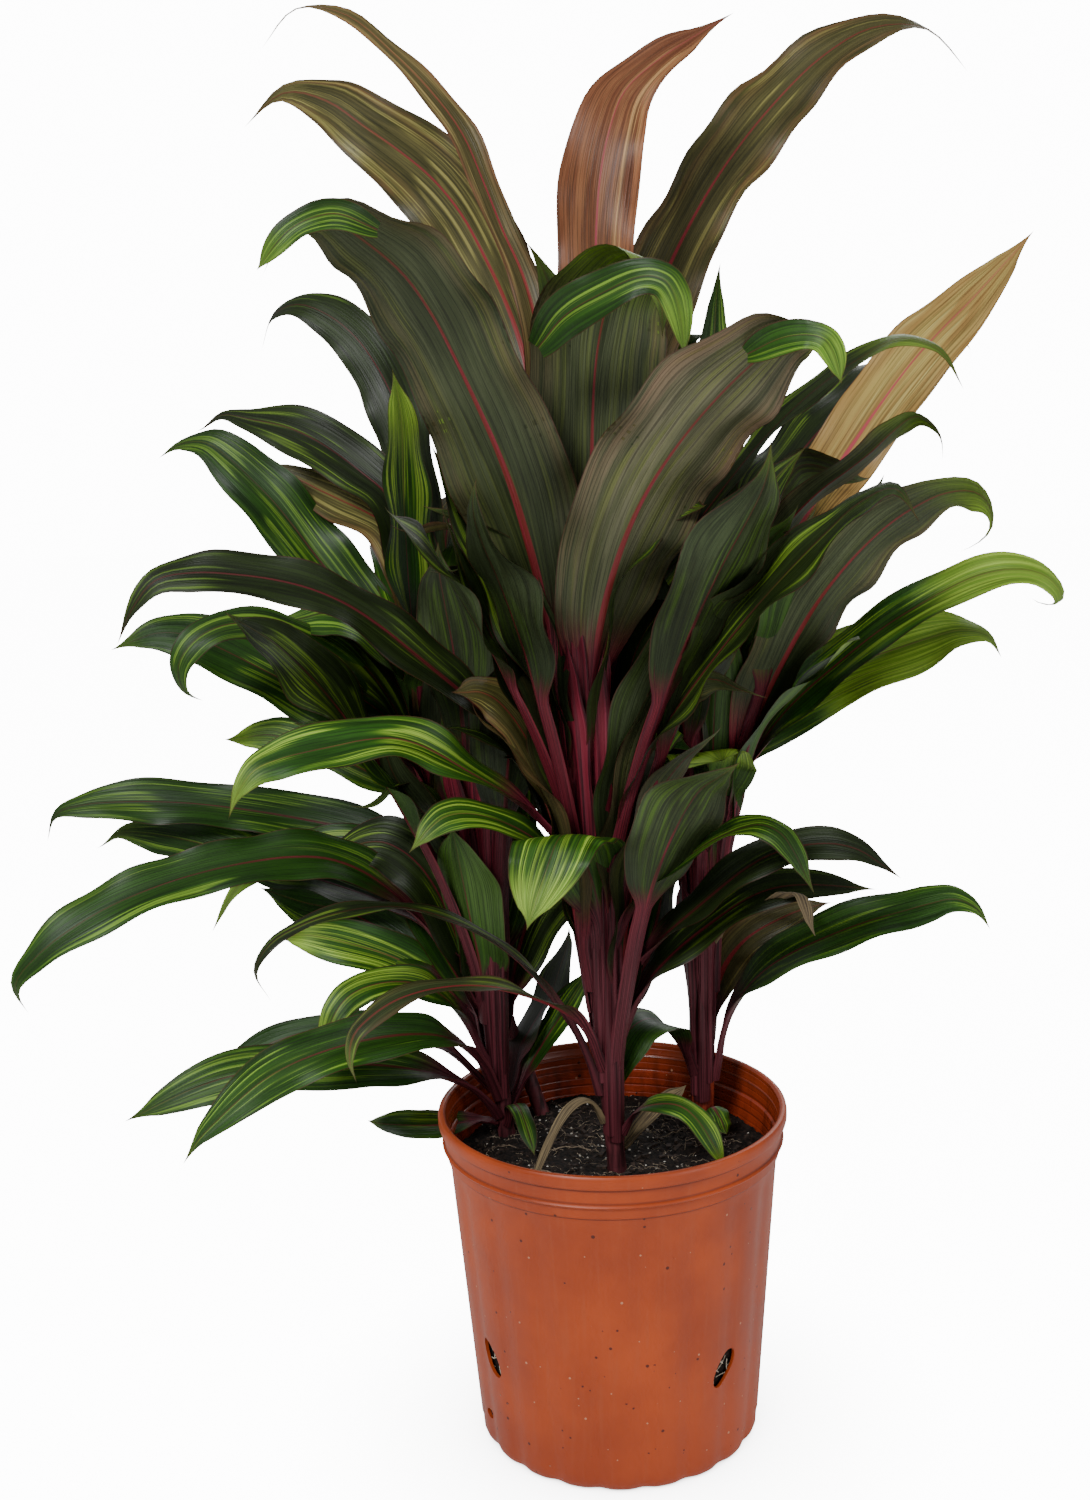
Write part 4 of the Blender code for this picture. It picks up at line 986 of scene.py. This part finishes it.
def arched_sections(cane, azimuth, joint, width, roll, arch, stalk_share, stalk_half):
    """A leaf's cross-sections, from its joint on a cane and the line of its midrib. Its
    azimuth may be a pair, at the foot and at the tip, and it rolls to face the front."""
    centres, radius = cane_rings("cane_" + cane)
    start, end = azimuth if isinstance(azimuth, tuple) else (azimuth, azimuth)
    hub = np.array([np.interp(joint * CM, centres[:, 2], centres[:, k]) for k in range(3)])
    steps = [(radius, 0.0)] + [(reach * CM, (height - joint) * CM) for reach, height in arch]
    far = max(reach for reach, _ in steps)
    knots, levels = [], []
    for reach, rise in steps:
        heading = math.radians(start + (end - start) * (reach / far) ** 2)
        way = np.array([math.cos(heading), math.sin(heading), 0.0])
        knots.append(hub + way * reach + np.array([0, 0, rise]))
        levels.append(np.cross((0, 0, 1), way))
    knots = np.array(knots)
    faces = []
    for k, (tangent, level) in enumerate(zip(np.gradient(knots, axis=0), levels)):
        face = np.cross(tangent, level)
        face /= np.linalg.norm(face)
        side = np.cross(face, tangent / np.linalg.norm(tangent))
        toward = side if side[1] < 0 else -side
        turn = math.radians(roll) * min(1.0, k / len(knots) / 0.5)
        faces.append(math.cos(turn) * face + math.sin(turn) * toward)
    return leaf_along(knots, np.array(faces), width * CM, stalk_share, stalk_half)


crimson_stalk = leaf_material("crimson_stalk", "#3a0d18", "#5c1624", "#6e1a2a", "#8a2a3c", "#4a1220",
                              "#6a1c2c", "#6c1c2a", "#762130", all_stalk=True)

# kind: share of the length that is stalk, the stalk's half width, and where the count of the
# length starts
LEAF_KINDS = {"leaf": (0.16, 3.6 * MM, 0.0), "long": (0.50, 6.0 * MM, -0.6), "sheath": (0.80, 6.5 * MM, 0.0)}

# cane, azimuth or azimuths, joint and width in cm, look, roll in degrees, and the midrib as
# (reach, height) in cm
SHORT_STALKED = [
    ("centre", 60, 47, 4.6, "green", 30, [(3, 56), (10, 64), (13, 72), (15, 76), (17, 79), (19, 78)]),
    ("centre", 50, 46, 4.0, "green", 60, [(3, 56), (11, 66), (14, 73), (15.5, 78), (15.5, 82), (15, 85)]),
    ("centre", 105, 50, 3.8, "dark", 40, [(1, 62), (2, 74), (2.6, 80), (3.4, 83), (5, 86)]),
    ("centre", 50, 29, 4.6, "grey", -20, [(1.5, 31), (4, 34), (6, 38), (7, 41), (7.5, 44), (8, 48)]),
    ("centre", 40, 22.5, 1.3, "dry", 20, [(1.2, 22.8), (3, 24), (5, 25), (7, 25.4)]),
    ("right", 300, 22.5, 1.8, "green", 0, [(1.4, 23.2), (2.4, 22.6), (3.2, 21.6)]),
    ("left", 165, 34, 4.8, "green", 40, [(6, 38), (14, 40.5), (20, 42), (25, 43), (29, 43), (30.5, 41)]),
    ("left", 155, 30, 4.4, "green", 60, [(4, 33), (7, 35), (12, 37), (16, 37.4), (20, 38)]),
    ("left", 205, 22, 2.2, "green", 40, [(1.6, 22.4), (5, 22.6), (8, 23.2), (11, 24)]),
    ("left", 60, 24, 4.0, "dark", -30, [(1.6, 25), (3, 27), (7, 29.4), (9, 31.4), (11, 34)]),
    ("back", 185, 43, 4.6, "green", 60, [(2, 48), (4, 52), (7, 54.6), (10, 57), (12.5, 59), (15, 60)]),
    ("back", 175, 42, 3.6, "lime", 60, [(3, 46), (8, 49), (11, 50.2), (14, 51), (17, 50)]),
    ("back", 155, 46, 4.4, "dark", 50, [(1, 56), (2, 64), (3, 68), (6, 70.6), (10, 73), (14, 74.2),
                                        (18, 74), (18.6, 72)]),
    ("back", 150, 46, 4.0, "bronze", 50, [(1.4, 57), (3, 65), (5, 67), (9, 68.6), (13, 70), (16, 70)]),
    ("right", (340, 320), 41, 4.4, "lime", 10,
     [(3.5, 51), (6.8, 55), (9.2, 57.2), (11.4, 58.7), (13, 58.6)]),
    ("right", 300, 36, 2.4, "dry", -20, [(3.7, 38.7), (8, 40.5), (11.3, 42.2), (12.4, 41.6), (12.2, 39.4)]),
    ("right", 330, 36, 1.2, "dry", 0, [(2.3, 40.3), (5.1, 40.6), (7.4, 40.2), (8.6, 39.4)]),
]
inner_leaves = [("leaf", *row) for row in SHORT_STALKED]

# bare stalks packed round the canes, whose blades are lost among the others: cane, azimuth,
# joint and top in cm, and how far the top stands off
SHEATHS = [
    ("centre", 258, 43, 69, 1.0), ("centre", 282, 46, 70, 0.8), ("centre", 236, 42, 67, 1.6),
    ("centre", 306, 43, 64, 1.0), ("centre", 296, 37, 62, 0.9), ("centre", 246, 36, 64, 2.2),
    ("centre", 270, 30, 64, 1.2), ("centre", 230, 28, 60, 2.2), ("centre", 312, 28, 52, 1.0),
    ("centre", 255, 24, 62, 1.3), ("centre", 290, 23.5, 54, 0.9), ("left", 255, 24, 53, 1.8),
    ("left", 300, 26, 52, 2.6), ("left", 220, 25, 52, 3.0), ("left", 275, 28, 55, 1.6),
    ("right", 262, 23.5, 54, 1.2), ("right", 228, 24, 41, 1.2), ("right", 296, 25, 42, 1.4),
    ("right", 200, 30, 52, 3.0), ("right", 335, 32, 56, 4.0), ("right", 262, 38, 60, 1.4),
    ("right", 300, 40, 61, 1.6), ("right", 235, 37, 58, 1.8),
]
for cane, azimuth, joint, top, stand_off in SHEATHS:
    arch = [(0.9 + stand_off * t ** 1.7, joint + (top - joint) * t) for t in (0.25, 0.5, 0.75, 1.0)]
    inner_leaves.append(("sheath", cane, azimuth, joint, 1.9, "dark", 0, arch))

# leaves whose long crimson stalks show at the front, listed as the short-stalked ones are
LONG_STALKED = [
    ("left", 188, 35, 4.6, "dark", 30,
     [(1.6, 38.5), (4, 43.5), (7.5, 50.5), (11, 56), (14.5, 59.5), (18, 60.5)]),
    ("left", 250, 34, 4.4, "dark", 0, [(1.2, 39), (1.4, 45), (1.9, 51), (2.8, 57), (4.4, 62), (7, 65.5)]),
    ("left", 215, 31, 4.4, "green", 20,
     [(1.5, 35), (3.2, 40), (5.4, 45), (8.2, 50), (11.5, 53.5), (15, 54)]),
    ("left", 300, 30, 4.4, "dark", -10, [(1.3, 35), (2.4, 41), (3.4, 46.5), (4.6, 52), (6.4, 57), (9, 60)]),
    ("centre", 212, 42, 4.8, "dark", 25,
     [(1.5, 46), (3.5, 52), (6, 57.5), (9, 63), (12, 67), (15.5, 68.5)]),
    ("centre", 228, 40, 4.6, "dark", 15,
     [(1.4, 44), (2.8, 50), (4.6, 56), (6.8, 62), (9.4, 67), (12.6, 70)]),
    ("centre", 342, 32, 4.6, "dark", -20,
     [(1.3, 38), (2.8, 45), (5, 52), (8.4, 59), (12.5, 64.5), (17, 67)]),
    ("centre", 308, 27, 4.2, "dark", -25,
     [(1.3, 31), (2.6, 36), (4.4, 41.5), (7.2, 47), (10.4, 51), (14, 52)]),
    ("centre", 322, 37, 4.4, "dark", -20, [(1.4, 41.5), (3.2, 48), (5.6, 54.5), (9.2, 62), (13, 68),
                                           (17, 71.5)]),
    ("right", 325, 38, 4.6, "green", -20, [(1.3, 43), (2.8, 49), (4.8, 55), (7.6, 61), (11, 66), (15, 69)]),
    ("right", 240, 36, 4.2, "dark", 10,
     [(1.2, 41), (2.0, 46.5), (3.0, 52), (4.6, 57.5), (7, 62), (10, 64.5)]),
]
inner_leaves += [("long", *row) for row in LONG_STALKED]

# leaves that arch over in front of the thicket: cane, azimuth, joint, top, reach and width in
# cm, look and roll
FRONT_LEAVES = [
    ("centre", 334, 36, 62, 12, 4.6, "dark", -30), ("centre", 350, 30, 52, 8.5, 4.4, "grey", -25),
    ("right", 285, 36, 60, 6.0, 4.4, "green", -20), ("right", 320, 39, 66, 9.0, 4.6, "dark", -30),
    ("back", 285, 40, 64, 6.0, 4.4, "dark", 0),
]
for cane, azimuth, joint, top, reach, width, look, roll in FRONT_LEAVES:
    arch = [(0.9 + reach * (0.2 * t + 0.8 * t ** 2.1), joint + (top - joint) * math.sin(1.75 * t))
            for t in (0.2, 0.4, 0.6, 0.8, 1.0)]
    inner_leaves.append(("leaf", cane, azimuth, joint, width, look, roll, arch))

# the thicket itself: cane, how many, then the spans of azimuth, joint, rise, reach and width in
# cm, and the looks in turn
THICKET = [
    ("centre", 9, (25, 165), (38, 50), (20, 31), (5, 13), (5.0, 6.8), ("dark", "grey", "bronze")),
    ("centre", 4, (165, 215), (34, 46), (18, 26), (6, 11), (4.6, 5.8), ("dark", "bronze")),
    ("centre", 4, (325, 385), (34, 46), (18, 26), (6, 11), (4.6, 5.8), ("dark", "grey")),
    ("centre", 7, (20, 170), (24, 36), (14, 22), (6, 13), (4.4, 5.8), ("dark", "green", "dark")),
    ("right", 8, (10, 170), (32, 47), (16, 26), (5, 13), (4.6, 6.2), ("dark", "green", "grey")),
    ("right", 4, (185, 300), (34, 46), (14, 22), (4, 9), (4.2, 5.4), ("dark", "green")),
    ("left", 7, (30, 200), (25, 36), (12, 22), (5, 14), (4.4, 5.8), ("dark", "green", "dark")),
    ("back", 8, (20, 220), (32, 46), (14, 25), (5, 14), (4.4, 6.0), ("dark", "green", "bronze")),
    ("back", 4, (280, 380), (34, 46), (14, 22), (4, 10), (4.2, 5.4), ("dark", "green")),
]
THICKET_SEED = 41
draw = random.Random(THICKET_SEED)
for cane, count, azimuths, joints, rises, reaches, widths, looks in THICKET:
    for k in range(count):
        heading = azimuths[0] + (azimuths[1] - azimuths[0]) * (k + draw.uniform(0.2, 0.8)) / count
        joint, rise, reach = draw.uniform(*joints), draw.uniform(*rises), draw.uniform(*reaches)
        droop = draw.uniform(1.5, 2.3)
        arch = [(1.0 + reach * (0.22 * t + 0.78 * t ** 1.9), joint + rise * math.sin(droop * t))
                for t in (0.16, 0.34, 0.54, 0.76, 1.0)]
        inner_leaves.append(("leaf", cane, (heading, heading + draw.uniform(-25, 25)), joint,
                             draw.uniform(*widths), looks[k % len(looks)], draw.uniform(-50, 50), arch))

INNER_SEED = 300
for number, (kind, cane, azimuth, joint, width, look, roll, arch) in enumerate(inner_leaves):
    stalk_share, stalk_half, start = LEAF_KINDS[kind]
    shape = arched_sections(cane, azimuth, joint, width, roll, arch, stalk_share, stalk_half)
    if kind == "sheath":
        grow_leaf(f"sheath_{number + 1:02d}", shape, crimson_stalk, INNER_SEED + number,
                  (0.3, 1.3, 0.0), curl=0.0)
    else:
        grow_leaf(f"inner_leaf_{number + 1:02d}", shape, LEAF_SKINS[look],
                  INNER_SEED + number, LEAF_TRAITS[look], start=start)

# ======================================================================================
# Folded ends: the ends of three crown leaves that fold over and turn their yellow-green side
# forward. Each is the end of a leaf, so it has a blade and no stalk.
# ======================================================================================
# width in cm, how far the blade runs on behind, and the line of the midrib as x, y, z in cm
FOLDED_ENDS = [
    (2.7, -0.06, [(-3.4, -7, 79.0), (-1.6, -9, 80.9), (0.9, -10.5, 82.2), (3.1, -11.5, 83.0),
                  (4.6, -12, 82.6), (5.3, -12.2, 80.9), (5.6, -12, 78.0)]),
    (1.9, -0.04, [(9.2, -14.4, 78.2), (10.8, -16.4, 79.0), (12.2, -17.4, 79.2), (13.3, -18, 78.9),
                  (13.9, -18, 77.9), (14.3, -17.6, 76.4)]),
    (1.7, -0.04, [(-12.2, -16.4, 85.9), (-14.0, -18, 86.7), (-15.4, -18.6, 86.6),
                  (-16.8, -18.8, 86.0), (-17.9, -18.8, 85.0), (-18.9, -18.4, 83.8)]),
]
FORWARD = Vector((0, -1, 0.15))
END_SEED = 700
for number, (width, stalk_share, line) in enumerate(FOLDED_ENDS):
    shape = leaf_along(np.array(line) * CM, [FORWARD] * len(line), width * CM, stalk_share)
    grow_leaf(f"folded_end_{number + 1}", shape, LEAF_SKINS["green"], END_SEED + number,
              (0.9, 0.80, 0.12), curl=0.3, start=0.45)

# ======================================================================================
# Stage: a white room. A wide matt floor glows to the camera alone, and a painted contact
# shadow dims that glow round the pot's foot; three large panels and the pale room light the plant.
# ======================================================================================
FLOOR_GLOW = 13.0                   # to the camera alone
CONTACT_SHADE = 0.16                # metres round the foot over which the painted contact shadow dims the floor's glow
ROOM_LIGHT, ROOM_SEEN = 0.34, 13.6  # strength on the plant, and as the camera sees it

floor = fresh("circle", vertices=96, radius=7, fill_type="NGON")
floor.name = "floor"
floor_paint, floor_tree, floor_shader = new_material("matt_white_floor")
floor_shader.inputs["Base Color"].default_value = (0.9, 0.9, 0.9, 1)
floor_shader.inputs["Roughness"].default_value = 0.9
seen = add(floor_tree, "LightPath", out="Is Camera Ray")
floor_shader.inputs["Emission Color"].default_value = (1, 1, 1, 1)
# painted shadow: ambient occlusion dims the floor's glow round the pot's foot
painted_shadow_ao = add(floor_tree, "AmbientOcclusion", {"Distance": CONTACT_SHADE}, "AO")
glow = add(floor_tree, "Math", (seen, painted_shadow_ao), operation="MULTIPLY")
glow = add(floor_tree, "Math", (glow, FLOOR_GLOW), operation="MULTIPLY")
floor_tree.links.new(glow, floor_shader.inputs["Emission Strength"])
floor.data.materials.append(floor_paint)

sky = bpy.data.worlds.new("white_room")
bpy.context.scene.world = sky
sky.use_nodes = True
room = sky.node_tree
room.nodes["Background"].inputs["Color"].default_value = (1, 1, 1, 1)
seen = add(room, "LightPath", out="Is Camera Ray")
strength = add(room, "MapRange", (seen, 0.0, 1.0, ROOM_LIGHT, ROOM_SEEN))
room.links.new(strength, room.nodes["Background"].inputs["Strength"])


def panel(name, place, aim, size, power):
    """A square soft light at a place, aimed at a point."""
    lamp = bpy.data.lights.new(name, "AREA")
    lamp.size = size
    lamp.energy = power
    stand = bpy.data.objects.new(name, lamp)
    bpy.context.collection.objects.link(stand)
    stand.location = place
    stand.rotation_euler = (Vector(aim) - Vector(place)).to_track_quat("-Z", "Y").to_euler()


panel("key", (-1.0, -1.9, 2.2), (0, 0, 0.5), 0.8, 58)
panel("fill", (1.9, -1.5, 1.0), (0, 0, 0.45), 1.2, 16)
panel("back", (0.6, 2.2, 1.9), (0, 0, 0.6), 1.2, 16)

CAMERA_BACK, CAMERA_UP = 1.268, 0.786      # metres from the pot's axis and above the floor
PITCH, ROLL, YAW = 12.08, -1.87, -1.82     # degrees
SENSOR_HEIGHT, FOCAL_LENGTH = 24, 29.6     # millimetres
lens = bpy.data.cameras.new("camera")
lens.sensor_fit = "VERTICAL"
lens.sensor_height = SENSOR_HEIGHT
lens.lens = FOCAL_LENGTH
camera = bpy.data.objects.new("camera", lens)
bpy.context.collection.objects.link(camera)
camera.matrix_world = (Matrix.Translation((0, -CAMERA_BACK, CAMERA_UP))
                       @ Matrix.Rotation(math.radians(-YAW), 4, "Z")
                       @ Matrix.Rotation(math.radians(90 - PITCH), 4, "X")
                       @ Matrix.Rotation(math.radians(ROLL), 4, "Z"))
bpy.context.scene.camera = camera
